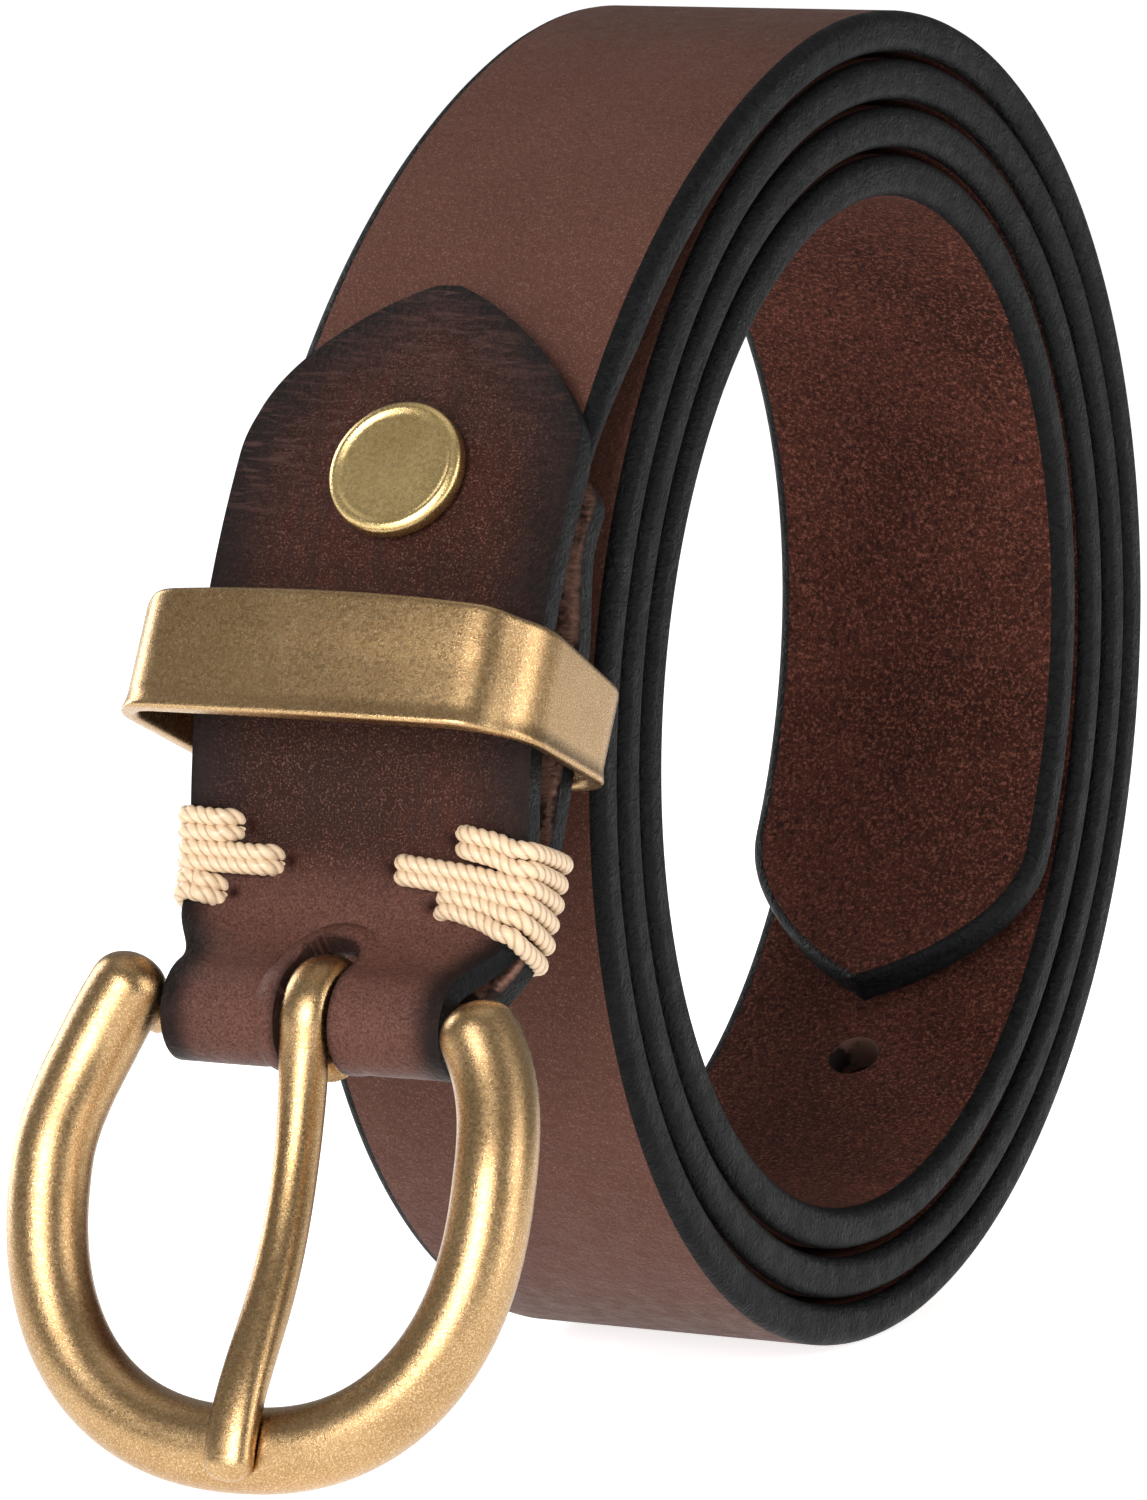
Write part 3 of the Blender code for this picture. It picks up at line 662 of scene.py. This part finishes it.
def antique_brass(name, dark, light):
    """Cast brass with a tumbled, slightly pitted skin and a thin brown patina."""
    s = Shader(name)
    speckle = s.noise(6500, 3, 0.72)
    cloud = s.span(s.noise(95, 4, 0.6), 0.35, 0.68)
    colour = s.mix(cloud, dark, light)
    pits = s.span(speckle, 0.34, 0.5, 0.4, 0.0)
    colour = s.mix(pits, colour, (0.13, 0.075, 0.034))
    bright = s.span(speckle, 0.52, 0.66, 0.0, 0.55)
    colour = s.mix(bright, colour, (0.92, 0.74, 0.48))
    relief = s.bump(speckle, 0.00005, 0.55)
    relief = s.bump(s.noise(260, 2), 0.00003, 0.2, relief)
    s.set(Base_Color=colour, Normal=relief, Metallic=1.0)
    s.set(Roughness=s.drift(2400, 0.23, 0.32, 2))
    return s.material


def waxed_cord():
    """Cream waxed thread: fine filaments along the twist, with painted shade where the plies meet."""
    s = Shader("waxed_cord")
    filaments = s.noise(1.0, 2, 0.5, s.stretched(350, 9000))
    # painted shade: dark brown in the grooves between the plies, cream on their crests
    groove = s.span(s.layer("groove"), 0.0, 0.55)
    colour = s.mix(groove, (0.26, 0.135, 0.062), (0.66, 0.48, 0.31))
    colour = s.mix(s.span(filaments, 0.35, 0.7, 0.0, 0.4), colour, (0.76, 0.6, 0.42))
    s.set(Base_Color=colour, Normal=s.bump(filaments, 0.00004, 0.6))
    s.set(Roughness=0.36, Specular_IOR_Level=0.5, Subsurface_Weight=0.08)
    s.surface.inputs["Subsurface Radius"].default_value = (0.0012, 0.0007, 0.0004)
    return s.material


def stage_white():
    s = Shader("stage_white")
    s.set(Base_Color=(0.9, 0.9, 0.9, 1.0), Roughness=0.9, Specular_IOR_Level=0.1)
    s.set(Emission_Color=(1.0, 1.0, 1.0, 1.0), Emission_Strength=0.78)
    return s.material


# The strap


def strap_section(half_width, half_thickness):
    """(across, above, edge distance) round the strap: outer face, right edge, inner face, left edge."""
    w, h = half_width, half_thickness
    soft = min(0.0013, 0.92 * h, 0.9 * w)
    right = [((w - soft) * share, h) for share in (0.0, 0.3, 0.55, 0.75, 0.88)]
    for i in range(6):
        angle = radians(90 - 18 * i)
        right.append((w - soft + soft * cos(angle), h - soft + soft * sin(angle)))
    half = right + [(x, -z) for x, z in reversed(right)]
    whole = half[:-1] + [(-x, z) for x, z in reversed(half[1:])]
    return [(x, z, w - abs(x)) for x, z in whole]


def strap_lengths(total):
    """Where the strap's rings lie: close together at the rounded point, then evenly."""
    tip = [TIP_START + (TIP_LENGTH - TIP_START) * t**2 for t in evenly(60)]
    count = round((total - TIP_LENGTH) / STRAP_STEP)
    return tip + [blend(TIP_LENGTH, total, t) for t in evenly(count)[1:]]


def strap_line():
    """The strap's outer face from its point to its hidden end, and its thickness along it."""
    coil = [coil_point(blend(FIRST_ANGLE, LEAVING_ANGLE, t)) for t in evenly(2400)]
    shares = evenly(200)
    face = Path(coil + end_face(shares)[1:])
    return face, [STRAP_THICKNESS] * len(coil) + [end_thickness(t) for t in shares[1:]]


def strap_surface(face, thicknesses):
    rings, edges, lengths = [], [], strap_lengths(face.total)
    for length in lengths:
        half_width = pointed_half_width(length, TIP_LENGTH, STRAP_WIDTH / 2)
        wider = pointed_half_width(length + 0.0001, TIP_LENGTH, STRAP_WIDTH / 2)
        slant = 1 / hypot(1.0, (wider - half_width) / 0.0001)
        thickness = face.read(thicknesses, length)
        normal = outward(face.direction(length, 0.0008))
        centre = COIL_CENTRE + face.point(length) - normal * (thickness / 2)
        section = strap_section(half_width, thickness / 2)
        rings.append([centre + SIDE * x + normal * above for x, above, _ in section])
        edges += [edge * slant for _, _, edge in section]
    flat = strap_section(STRAP_WIDTH / 2, STRAP_THICKNESS / 2)
    around, slots = [0.0], []
    for a, b in zip(flat, flat[1:] + flat[:1]):
        around.append(around[-1] + hypot(a[0] - b[0], a[1] - b[1]))
        level = a[1] == b[1]
        slots.append((0 if a[1] > 0 else 2) if level else 1)
    layers = {"edge": edges}
    return loft("strap_leather", rings, lengths, around, slots, layers=layers, cap_slot=1)


def make_strap(tread, paint, flesh, hole_walls):
    face, thicknesses = strap_line()
    strap = strap_surface(face, thicknesses)
    coat(strap, tread, paint, flesh, hole_walls)
    punches = []
    for i in range(HOLE_COUNT):
        length = FIRST_HOLE + i * HOLE_SPACING
        normal = outward(face.direction(length))
        middle = COIL_CENTRE + face.point(length) - normal * (STRAP_THICKNESS / 2)
        profile = ((HOLE_RADIUS + 0.0002, -0.0022), (HOLE_RADIUS, -0.0017), (HOLE_RADIUS, 0.0022))
        punches.append(turned(f"punch_{i}", profile, middle, normal, 32))
    for punch in punches:
        coat(punch, hole_walls)
        add_modifier(strap, "BOOLEAN", object=punch, solver="EXACT", material_mode="TRANSFER")
    apply_modifiers(strap)
    for punch in punches:
        remove(punch)
    strap.data.set_sharp_from_angle(angle=radians(50))
    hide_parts("strap")
    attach(strap, "belt")


# The folded leather that holds the buckle

# (distance from the middle, height) of each slit, and the heights of the six strands at the edge
STITCH_SLITS = {
    -1: ((0.0127, -0.0056), (0.0086, -0.0086), (0.0141, -0.0119)),
    1: ((0.0109, -0.0057), (0.0048, -0.0087), (0.0092, -0.0118)),
}
SLIT_REACH = 0.0015  # how far a slit shows past its strands
STRAND_EDGES = {-1: (-0.0048, -0.0015), 1: (-0.006, -0.0017)}


class Chape:
    """The folded leather as a sheet: places on it are (across, length from the tab's point)."""

    def __init__(self):
        self.path, self.fold_start, self.fold_end = chape_path()
        self.slot_start = self.front_length(SLOT_TOP)
        self.slot_end = self.back_length(SLOT_TOP)
        self.slits = []
        for side, slits in STITCH_SLITS.items():
            self.slits += [(side * (x - SLIT_REACH), self.front_length(z)) for x, z in slits]

    def crossing(self, z, sign, start):
        """The first length past start at which the leather passes a height, going up or down."""
        lengths, points = self.path.lengths, self.path.points
        past = (i for i in range(1, len(points)) if lengths[i] > start)
        i = next(i for i in past if sign * (points[i].z - z) > 0)
        share = (z - points[i - 1].z) / (points[i].z - points[i - 1].z)
        return blend(lengths[i - 1], lengths[i], min(max(share, 0.0), 1.0))

    def front_length(self, z):
        return self.crossing(z, -1, 0.0)

    def back_length(self, z):
        return self.crossing(z, 1, self.fold_end)

    def widened(self, length):
        """0 round the bar, 1 where the leather has its full width."""
        beyond = max(self.fold_start - length, length - self.fold_end, 0.0)
        return eased((beyond - 0.0005) / 0.0075)

    def half_width(self, length):
        full = blend(FOLD_HALF_WIDTH, CHAPE_WIDTH / 2, self.widened(length))
        if length < self.fold_start:
            return pointed_half_width(length, TAB_LENGTH, full)
        return pointed_half_width(self.path.total - length, CHAPE_END_LENGTH, full)

    def thickness(self, length):
        full = blend(CHAPE_THICKNESS, FOLD_THICKNESS, eased(length / self.fold_start))
        return blend(CHAPE_END_THICKNESS, full, eased((self.path.total - length) / 0.012))

    def slot_offset(self, x, length):
        """The nearest length on the slot's middle line, and the way from there to a place."""
        first, last = self.slot_start + SLOT_HALF_WIDTH, self.slot_end - SLOT_HALF_WIDTH
        near = min(max(length, first), last)
        return near, (x - SLOT_SHIFT, length - near)

    def slot_distance(self, x, length):
        """How far a place is outside the prong's slot; negative inside it."""
        return hypot(*self.slot_offset(x, length)[1]) - SLOT_HALF_WIDTH

    def slot_edge(self, x, length):
        """The nearest place on the slot's outline."""
        near, away = self.slot_offset(x, length)
        away = Vector(away).normalized() * SLOT_HALF_WIDTH
        return away.x + SLOT_SHIFT, near + away.y

    def slit_nearness(self, x, length):
        """1 at a stitch's slit, falling to nothing 3 mm away."""
        return max(hump(hypot(x - sx, length - sl), 0.0011) for sx, sl in self.slits)

    def relief(self, x, length):
        """How far the leather's middle stands out: the bulge over the hook, dimples, slight waves."""
        height = 0.0001 * noise.noise(Vector((x * 90, length * 90, 3.0)))
        if length < self.fold_end:
            around = self.slot_distance(x, length)
            above = eased((self.slot_start + 0.0045 - length) / 0.004)
            leftward = 0.35 + 0.65 * eased((0.0035 - x) / 0.005)
            ridge = eased((0.0021 - around) / 0.0013) * leftward
            height += ridge * blend(*HOOK_BULGE, above)
            groove = leftward * hump(around - 0.0023, 0.0004) * blend(0.4, 1, above)
            height -= HOOK_GROOVE * groove
            height -= SLIT_DIMPLE * self.slit_nearness(x, length)
        return height

    def place(self, x, length):
        normal = outward(self.path.direction(length, 0.0005))
        aside = FOLD_SHIFT * (1 - self.widened(length))
        aside -= TAB_SKEW * max(0.0, 1 - length / TAB_SKEW_LENGTH)
        point = self.path.point(length) + normal * self.relief(x, length)
        return COIL_CENTRE + point + SIDE * (x + aside)

    def surface(self, x, length, lift):
        """A point this far off the leather's outer face."""
        normal = outward(self.path.direction(length, 0.0005))
        return self.place(x, length) + normal * (self.thickness(length) / 2 + lift)


def chape_rows(total):
    """Where the sheet's rows lie: closer together at its ends."""
    first, last = TAB_LENGTH - CHAPE_MARGIN, CHAPE_END_LENGTH - CHAPE_MARGIN
    lengths = [CHAPE_MARGIN + first * t**1.5 for t in evenly(48)]
    rows = round((total - TAB_LENGTH - CHAPE_END_LENGTH) / CHAPE_ROW_STEP) - 1
    lengths += [blend(TAB_LENGTH, total - CHAPE_END_LENGTH, t) for t in evenly(rows)[1:]]
    return lengths + [total - CHAPE_MARGIN - last * (1 - t) ** 1.5 for t in evenly(24)[1:]]


def chape_sheet(chape, lengths):
    """The sheet's places and its faces, with the prong's slot left open."""
    columns = 32
    snapped = []
    for length in lengths:
        half_width = chape.half_width(length)
        for j in range(-columns, columns + 1):
            x = half_width * j / columns
            near = abs(chape.slot_distance(x, length)) < SLOT_SNAP
            snapped.append(chape.slot_edge(x, length) if near else (x, length))
    width = 2 * columns + 1
    faces = []
    for i in range(len(lengths) - 1):
        for j in range(width - 1):
            corners = (i * width + j, (i + 1) * width + j, (i + 1) * width + j + 1, i * width + j + 1)
            if min(chape.slot_distance(*snapped[c]) for c in corners) > -0.00003:
                faces.append(corners)
    used = sorted({c for face in faces for c in face})
    renumber = {old: new for new, old in enumerate(used)}
    return [snapped[c] for c in used], [tuple(renumber[c] for c in face) for face in faces]


def chape_layers(chape, lengths, kept):
    """How near the leather's edge and how wrinkled each place is, how much painted shade it gets round
    the stitch slits, and how much painted highlight it gets low down and round the fold.
    """
    rim = np.array([(side * chape.half_width(l), l) for l in lengths for side in (-1, 1)])
    edges, wrinkles, slit_shades, fold_highlight = [], [], [], []
    for x, length in kept:
        nearest = np.hypot(rim[:, 0] - x, rim[:, 1] - length).min()
        slot = chape.slot_distance(x, length)
        edges.append(min(nearest, 5 * max(slot, 0.0) + 0.0018))
        tip = eased((0.024 - length) / 0.02)
        left = eased((0.004 - x) / 0.016) * eased((0.034 - length) / 0.012)
        wrinkles.append(min(1.0, tip + 0.8 * left))
        # painted shade round the stitch slits, only in front of the fold's end
        slit_shades.append(chape.slit_nearness(x, length) if length < chape.fold_end else 0.0)
        # painted highlight: from the lower front round the fold and up the back, fading towards the
        # edges
        lower = eased((length - chape.front_length(-0.006)) / 0.008)
        fold_highlight.append(lower * eased((edges[-1] - 0.0008) / 0.003))
    return {"edge": edges, "wrinkle": wrinkles, "dark_patch": slit_shades, "fold_highlight": fold_highlight}


def make_chape(chape, leather, raw, paint):
    lengths = chape_rows(chape.path.total)
    kept, faces = chape_sheet(chape, lengths)
    layers = chape_layers(chape, lengths, kept)
    vertices = [chape.place(x, length) for x, length in kept]
    uvs = [tuple((kept[c][1], kept[c][0]) for c in face) for face in faces]
    obj = new_object("chape_leather", vertices, faces, None, uvs, layers)
    thin = obj.vertex_groups.new(name="thickness")
    for i, (x, length) in enumerate(kept):
        thin.add([i], chape.thickness(length) / CHAPE_THICKNESS, "REPLACE")
    coat(obj, leather, raw, paint)
    add_modifier(
        obj, "SOLIDIFY", thickness=CHAPE_THICKNESS, offset=0.0, vertex_group="thickness",
        material_offset=1, material_offset_rim=2,
    )
    add_modifier(
        obj, "BEVEL", width=0.00055, segments=3, limit_method="ANGLE",
        angle_limit=radians(55), material=2,
    )
    apply_modifiers(obj)
    for face in obj.data.polygons:
        below = face.center.z < COIL_CENTRE.z + SLOT_TOP + SLOT_RIM_ABOVE
        in_slot = below and abs(face.center.x) < SLOT_RIM_REACH
        if in_slot and face.material_index == 2:
            face.material_index = 0
    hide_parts("chape")
    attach(obj, "belt")


# The stitches


def cord_between(name, points, material):
    """Three-ply twisted cord along a smooth line through points."""
    path = Path(through(points))
    count = round(path.total / CORD_STEP)
    rings, grooves, lengths = [], [], [path.total * t for t in evenly(count)]
    side = path.direction(0.0).orthogonal().normalized()
    for length in lengths:
        ahead = path.direction(length)
        side = (side - ahead * side.dot(ahead)).normalized()
        up = ahead.cross(side)
        ring = []
        for i in range(CORD_SIDES):
            angle = tau * i / CORD_SIDES
            twist = CORD_PLIES * (angle - tau * length / CORD_PITCH)
            # lobe is 1 on a ply's crest and 0 in the groove between plies; it shapes the cord and masks
            # its painted shade
            lobe = abs(cos(twist / 2))
            radius = CORD_RADIUS * (0.8 + 0.26 * lobe**0.7)
            across, above = radius * cos(angle), radius * sin(angle)
            ring.append(path.point(length) + side * across + up * above)
            grooves.append(lobe)
        rings.append(ring)
    around = [tau * CORD_RADIUS * t for t in evenly(CORD_SIDES)]
    cord = loft(name, rings, lengths, around, layers={"groove": grooves})
    coat(cord, material)
    return cord


def make_strand(chape, name, side, slit, edge_height, material):
    """One strand: out of its slit, across the front, over the edge and into the back layer."""
    inner, start = slit
    front, wrapped = chape.front_length(start), chape.front_length(edge_height)
    back = chape.back_length(edge_height - STRAND_DROP)
    edge = min(chape.half_width(front), chape.half_width(wrapped))
    out = CORD_RADIUS * 0.9
    route = (
        (inner - 0.0012, front, -0.0018),
        (inner - 0.0003, front, -0.0004),
        (inner + 0.0009, front, out),
        (blend(inner, edge, 0.55), blend(front, wrapped, 0.4), out),
        (edge - 0.0012, blend(front, wrapped, 0.9), out),
        (edge - 0.0001, wrapped, out * 0.75),
        (edge + out * 0.75, wrapped + 0.0003, -0.0006),
    )
    points = [chape.surface(side * x, length, lift) for x, length, lift in route]
    route = ((edge + out * 0.85, -0.0008), (edge - 0.0003, out * 0.9), (edge - 0.004, out),
             (edge - 0.0052, -0.001))
    points += [chape.surface(side * x, back, lift) for x, lift in route]
    return cord_between(name, points, material)


def make_stitches(chape, material):
    for side_name, side in (("left", -1), ("right", 1)):
        first_edge, edge_step = STRAND_EDGES[side]
        for i, row in enumerate(("upper", "middle", "lower")):
            node = f"stitch_{side_name}_{row}"
            x, z = STITCH_SLITS[side][i]
            for k, shift in enumerate((STRAND_APART, -STRAND_APART)):
                slit = (x, z + shift)
                edge_height = first_edge + edge_step * (2 * i + k)
                strand = make_strand(chape, f"{node}_strand_{k}", side, slit, edge_height, material)
                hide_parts(node)
                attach(strand, "belt")


# The metal


def prong_rings():
    path, hook = prong_line()
    count = round(path.total / PRONG_STEP)
    rings = []
    for t in evenly(count):
        length = path.total * t
        grown = eased((length - hook + 0.003) / 0.009)
        tapered = eased((length - path.total + 0.016) / 0.014)
        depth = blend(PRONG_WRAP_THICKNESS / 2, PRONG_DEPTH / 2, grown)
        depth = blend(depth, PRONG_TIP_DEPTH / 2, tapered)
        half_width = blend(*PRONG_HALF_WIDTHS[:2], eased((length - hook) / 0.014))
        towards_tip = eased((length - hook - 0.014) / 0.026)
        half_width = blend(half_width, PRONG_HALF_WIDTHS[2], towards_tip)
        point = path.point(length)
        centre = COIL_CENTRE + point + SIDE * prong_offset(point.z)
        up = outward(path.direction(length))
        power = blend(2.1, 2.4, tapered)
        rings.append((centre, up, half_width, depth, power))
    return rings


def make_prong(brass):
    stations = prong_rings()
    rings = [oval_ring(c, SIDE, up, w, d, 40, power) for c, up, w, d, power in stations]
    centre, up, w, d, power = stations[-1]
    ahead = SIDE.cross(up)
    for t in evenly(12)[1:]:
        angle = radians(88) * t
        size = cos(angle) ** 0.8
        reach = centre + ahead * (0.0019 * sin(angle))
        rings.append(oval_ring(reach, SIDE, up, w * size, d * size, 40, power))
    prong = loft("prong_cast", rings)
    coat(prong, brass)
    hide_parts("prong")
    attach(prong, "tongue")


def tube_end(centre, across, facing, radius, ahead):
    """Rings that close a tube with a dome."""
    rings = []
    for share in evenly(8)[1:]:
        angle = radians(86) * share
        size = radius * cos(angle)
        reach = centre + ahead * (radius * 0.85 * sin(angle))
        rings.append(oval_ring(reach, across, facing, size, size, 36))
    return rings


def make_frame(brass):
    facing = outward(lean_direction(FRAME_LEAN))
    path = Path([frame_point(blend(-FRAME_END_ANGLE, FRAME_END_ANGLE, t)) for t in evenly(600)])
    stations = []
    for t in evenly(170):
        length = path.total * t
        angle = blend(-FRAME_END_ANGLE, FRAME_END_ANGLE, t)
        radius = blend(FRAME_RADIUS, FRAME_LEG_RADIUS, sin(min(abs(angle), pi / 2)))
        ahead = path.direction(length)
        across = ahead.cross(facing).normalized()
        stations.append((COIL_CENTRE + path.point(length), across, facing, radius, ahead))
    rings = [oval_ring(c, across, up, r, r, 36) for c, across, up, r, _ in stations]
    start = tube_end(*stations[0][:4], -stations[0][4])
    rings = list(reversed(start)) + rings + tube_end(*stations[-1])
    obj = loft("buckle_frame_cast", rings)

    reach = abs(frame_point(FRAME_END_ANGLE).x) - 0.0002
    middle = COIL_CENTRE + in_plane(*BAR_CENTRE)
    y, z = in_plane(1, 0), in_plane(0, 1)
    rings = [oval_ring(middle + SIDE * x, y, z, r, r, 32) for x, r in bar_profile(reach)]
    bar = loft("bar", rings)
    add_modifier(obj, "BOOLEAN", object=bar, operation="UNION", solver="EXACT")
    add_modifier(obj, "REMESH", mode="VOXEL", voxel_size=FRAME_VOXEL)
    add_modifier(obj, "SMOOTH", factor=0.5, iterations=8)
    apply_modifiers(obj)
    remove(bar)
    rest_prong(obj)
    obj.data.shade_smooth()
    obj.data.materials.clear()
    coat(obj, brass)
    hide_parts("buckle_frame")
    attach(obj, "frame")


def bar_profile(reach):
    """(x, radius) along the bar, which flares where it meets the legs."""
    half = [(blend(BAR_SHOWS, reach, t), BAR_RADIUS + BAR_FLARE * t**2) for t in evenly(12)]
    return [(-x, r) for x, r in reversed(half)] + half


def rest_prong(obj):
    """Presses the prong's seat into the frame: points inside it move out to its surface."""
    room = PRONG_SEAT_ROOM
    stations = [(centre, up, w + room, d + room) for centre, up, w, d, _ in prong_rings()]
    centre, up, w, d = stations[-1]
    ahead = SIDE.cross(up)
    beyond = [(centre + ahead * (PRONG_STEP * k), up, w, d) for k in range(1, 4)]
    stations = stations[len(stations) // 2:] + beyond
    for vertex in obj.data.vertices:
        point = vertex.co
        centre, up, w, d = min(stations, key=lambda s: (s[0] - point).length_squared)
        across, above = (point - centre).dot(SIDE), (point - centre).dot(up)
        if hypot(across / w, above / d) < 1.0:
            depth = d * sqrt(max(0.0, 1 - (across / w) ** 2))
            vertex.co = point - up * (depth + above)


def keeper_line():
    """(x, depth, spoke) round the loop's middle line; spoke is the outward (x, depth) direction."""
    half_x, half_depth = KEEPER_WIDTH / 2 - KEEPER_WALL / 2, KEEPER_DEPTH / 2 - KEEPER_WALL / 2
    line = []
    for turn, (x_sign, depth_sign) in enumerate(((1, 1), (-1, 1), (-1, -1), (1, -1))):
        corner = KEEPER_CORNERS[turn]
        for share in evenly(16):
            angle = pi / 2 * (turn + share)
            spoke = (cos(angle), sin(angle))
            x = x_sign * (half_x - corner) + corner * spoke[0]
            depth = depth_sign * (half_depth - corner) + corner * spoke[1]
            line.append((x, depth, spoke))
        if turn in (0, 2):
            start = x_sign * (half_x - corner)
            end = -x_sign * (half_x - KEEPER_CORNERS[turn + 1])
            for share in evenly(24)[1:-1]:
                line.append((blend(start, end, share), depth_sign * half_depth, (0.0, depth_sign)))
    return line


def keeper_section(x, depth):
    """(out, up) round the band: tall and bulging in front, lower at the back, its edges softened."""
    half_depth = (KEEPER_DEPTH - KEEPER_WALL) / 2
    towards_front = 0.5 + 0.5 * depth / half_depth
    in_front = eased((depth / half_depth - 0.85) / 0.15)
    crown = in_front * (1 - (2 * x / KEEPER_WIDTH) ** 2)
    forwards, upwards, downwards = (crown * reach for reach in KEEPER_CROWN)
    high = blend(*KEEPER_TOP, towards_front) + upwards
    low = blend(*KEEPER_BOTTOM, towards_front) + downwards
    flare = KEEPER_FLARE * eased((2 * abs(x) / KEEPER_WIDTH - 0.75) / 0.25)
    w, middle, lip = KEEPER_WALL / 2, (high - low) / 2, KEEPER_LIP * in_front
    outline = [
        (w, middle), (w + lip / 3, high), (-w, high), (-w, middle),
        (flare - w, -low), (flare + w + lip, -low), (w + lip * 0.15, 0.0014 - low),
        (w, middle), (w + lip / 3, high),
    ]
    soft = rounded(outline, 0.00075, 6)[1:-1]
    return [(forwards + out, up) for out, up in soft]


def make_keeper(brass):
    forwards = outward(lean_direction(KEEPER_LEAN))
    upwards = -lean_direction(KEEPER_LEAN)
    centre = COIL_CENTRE + in_plane(*KEEPER_CENTRE)
    rings = []
    for x, depth, spoke in keeper_line():
        point = centre + SIDE * x + forwards * depth
        away = SIDE * spoke[0] + forwards * spoke[1]
        rings.append([point + away * out + upwards * up for out, up in keeper_section(x, depth)])
    keeper = loft("keeper_band", rings, closed=True)
    coat(keeper, brass)
    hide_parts("keeper_loop")
    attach(keeper, "keeper")


def make_rivet(brass):
    origin, axis = rivet_place()
    top = 2 * GAP + CHAPE_THICKNESS - 0.0004
    rim = CAP_RADIUS
    high = top + 0.0004 + CAP_HEIGHT
    profile = rounded([
        (0.0001, top), (rim - 0.0005, top), (rim, top + 0.0008), (rim - 0.0001, high - 0.0004),
        (rim - 0.0008, high), (rim - 0.0014, high - 0.00028), (0.002, high - 0.00022),
        (0.0001, high - 0.0002),
    ], 0.0005, 5)
    cap = turned("rivet_cap_turned", profile, origin, axis)
    coat(cap, brass)
    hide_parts("rivet_cap")
    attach(cap, "belt")

    back = -(end_thickness(RIVET_SHARE) + 2 * GAP + FOLD_THICKNESS) - GAP
    rim, low = SCREW_HEAD_RADIUS, back - SCREW_HEAD_HEIGHT
    profile = rounded([
        (0.0001, low), (rim - 0.0006, low), (rim, back - 0.0004), (rim, back + 0.0002),
        (0.0001, back + 0.0002),
    ], 0.0004, 4)
    head = turned("rivet_screw_turned", profile, origin, axis)
    cut_centre = origin + axis * low
    up, into = axis.cross(SIDE) * SCREW_SLIT[0], axis * SCREW_SLIT[1]
    slit = loft("screw_slit", [
        [cut_centre + SIDE * x + up * a + into * b for a, b in SQUARE] for x in (-0.006, 0.006)
    ])
    add_modifier(head, "BOOLEAN", object=slit, solver="EXACT")
    apply_modifiers(head)
    remove(slit)
    head.data.set_sharp_from_angle(angle=radians(45))
    head.data.materials.clear()
    coat(head, brass)
    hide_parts("rivet_screw")
    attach(head, "belt")


# The stage


def make_stage():
    """A pale floor, wide enough to fill the view from any side."""
    corners = [(STAGE_REACH * x, STAGE_REACH * y, 0.0) for x, y in SQUARE]
    stage = new_object("stage", corners, [(0, 1, 2, 3)])
    coat(stage, stage_white())


def put_aimed(name, data, place, target):
    """Puts a light or a camera at its place and turns it to its target."""
    obj = put_in_scene(name, data)
    obj.location = place
    aim = Vector(target) - Vector(place)
    obj.rotation_euler = aim.to_track_quat("-Z", "Y").to_euler()
    return obj


def make_softbox(name, place, width, height, power):
    light = bpy.data.lights.new(name, "AREA")
    light.shape = "RECTANGLE"
    light.size, light.size_y, light.energy = width, height, power
    put_aimed(name, light, place, LIGHTS_TARGET)


def make_lights():
    """A soft light in front, two tall strips at the sides and a dim light overhead."""
    make_softbox("front_softbox", (0.06, -0.9, 0.34), 0.42, 0.42, 8.0)
    make_softbox("right_strip", (0.9, -0.05, 0.28), 0.2, 0.7, 3.4)
    make_softbox("left_strip", (-0.9, 0.2, 0.3), 0.22, 0.7, 4.8)
    make_softbox("top_softbox", (0.0, 0.1, 1.1), 0.8, 0.8, 1.1)
    world = bpy.data.worlds.new("studio")
    world.use_nodes = True
    background = world.node_tree.nodes["Background"]
    background.inputs["Color"].default_value = (1.0, 1.0, 1.0, 1.0)
    background.inputs["Strength"].default_value = 0.3
    bpy.context.scene.world = world


def make_camera():
    data = bpy.data.cameras.new("camera")
    data.sensor_fit = "HORIZONTAL"
    data.lens = CAMERA_LENS_MM
    camera = put_aimed("camera", data, CAMERA_PLACE, CAMERA_TARGET)
    bpy.context.scene.camera = camera
    bpy.context.scene.view_settings.view_transform = "Standard"


def main():
    paint = edge_paint()
    brass = antique_brass("antique_brass", (0.38, 0.23, 0.099), (0.485, 0.305, 0.142))
    # a lighter copy of the same brass for the rivet's cap and screw head: painted light
    brass_painted_lighter = antique_brass("brass_painted_lighter", (0.64, 0.45, 0.18), (0.82, 0.6, 0.26))
    make_strap(tread_leather(), paint, flesh_side(), raw_flesh("hole_walls", 0.0))
    chape = Chape()
    make_chape(chape, chape_leather(), raw_flesh("raw_flesh", 0.9), paint)
    make_stitches(chape, waxed_cord())
    make_frame(brass)
    make_prong(brass)
    make_keeper(brass)
    make_rivet(brass_painted_lighter)
    make_stage()
    make_lights()
    make_camera()


main()
bpy.context.view_layer.update()
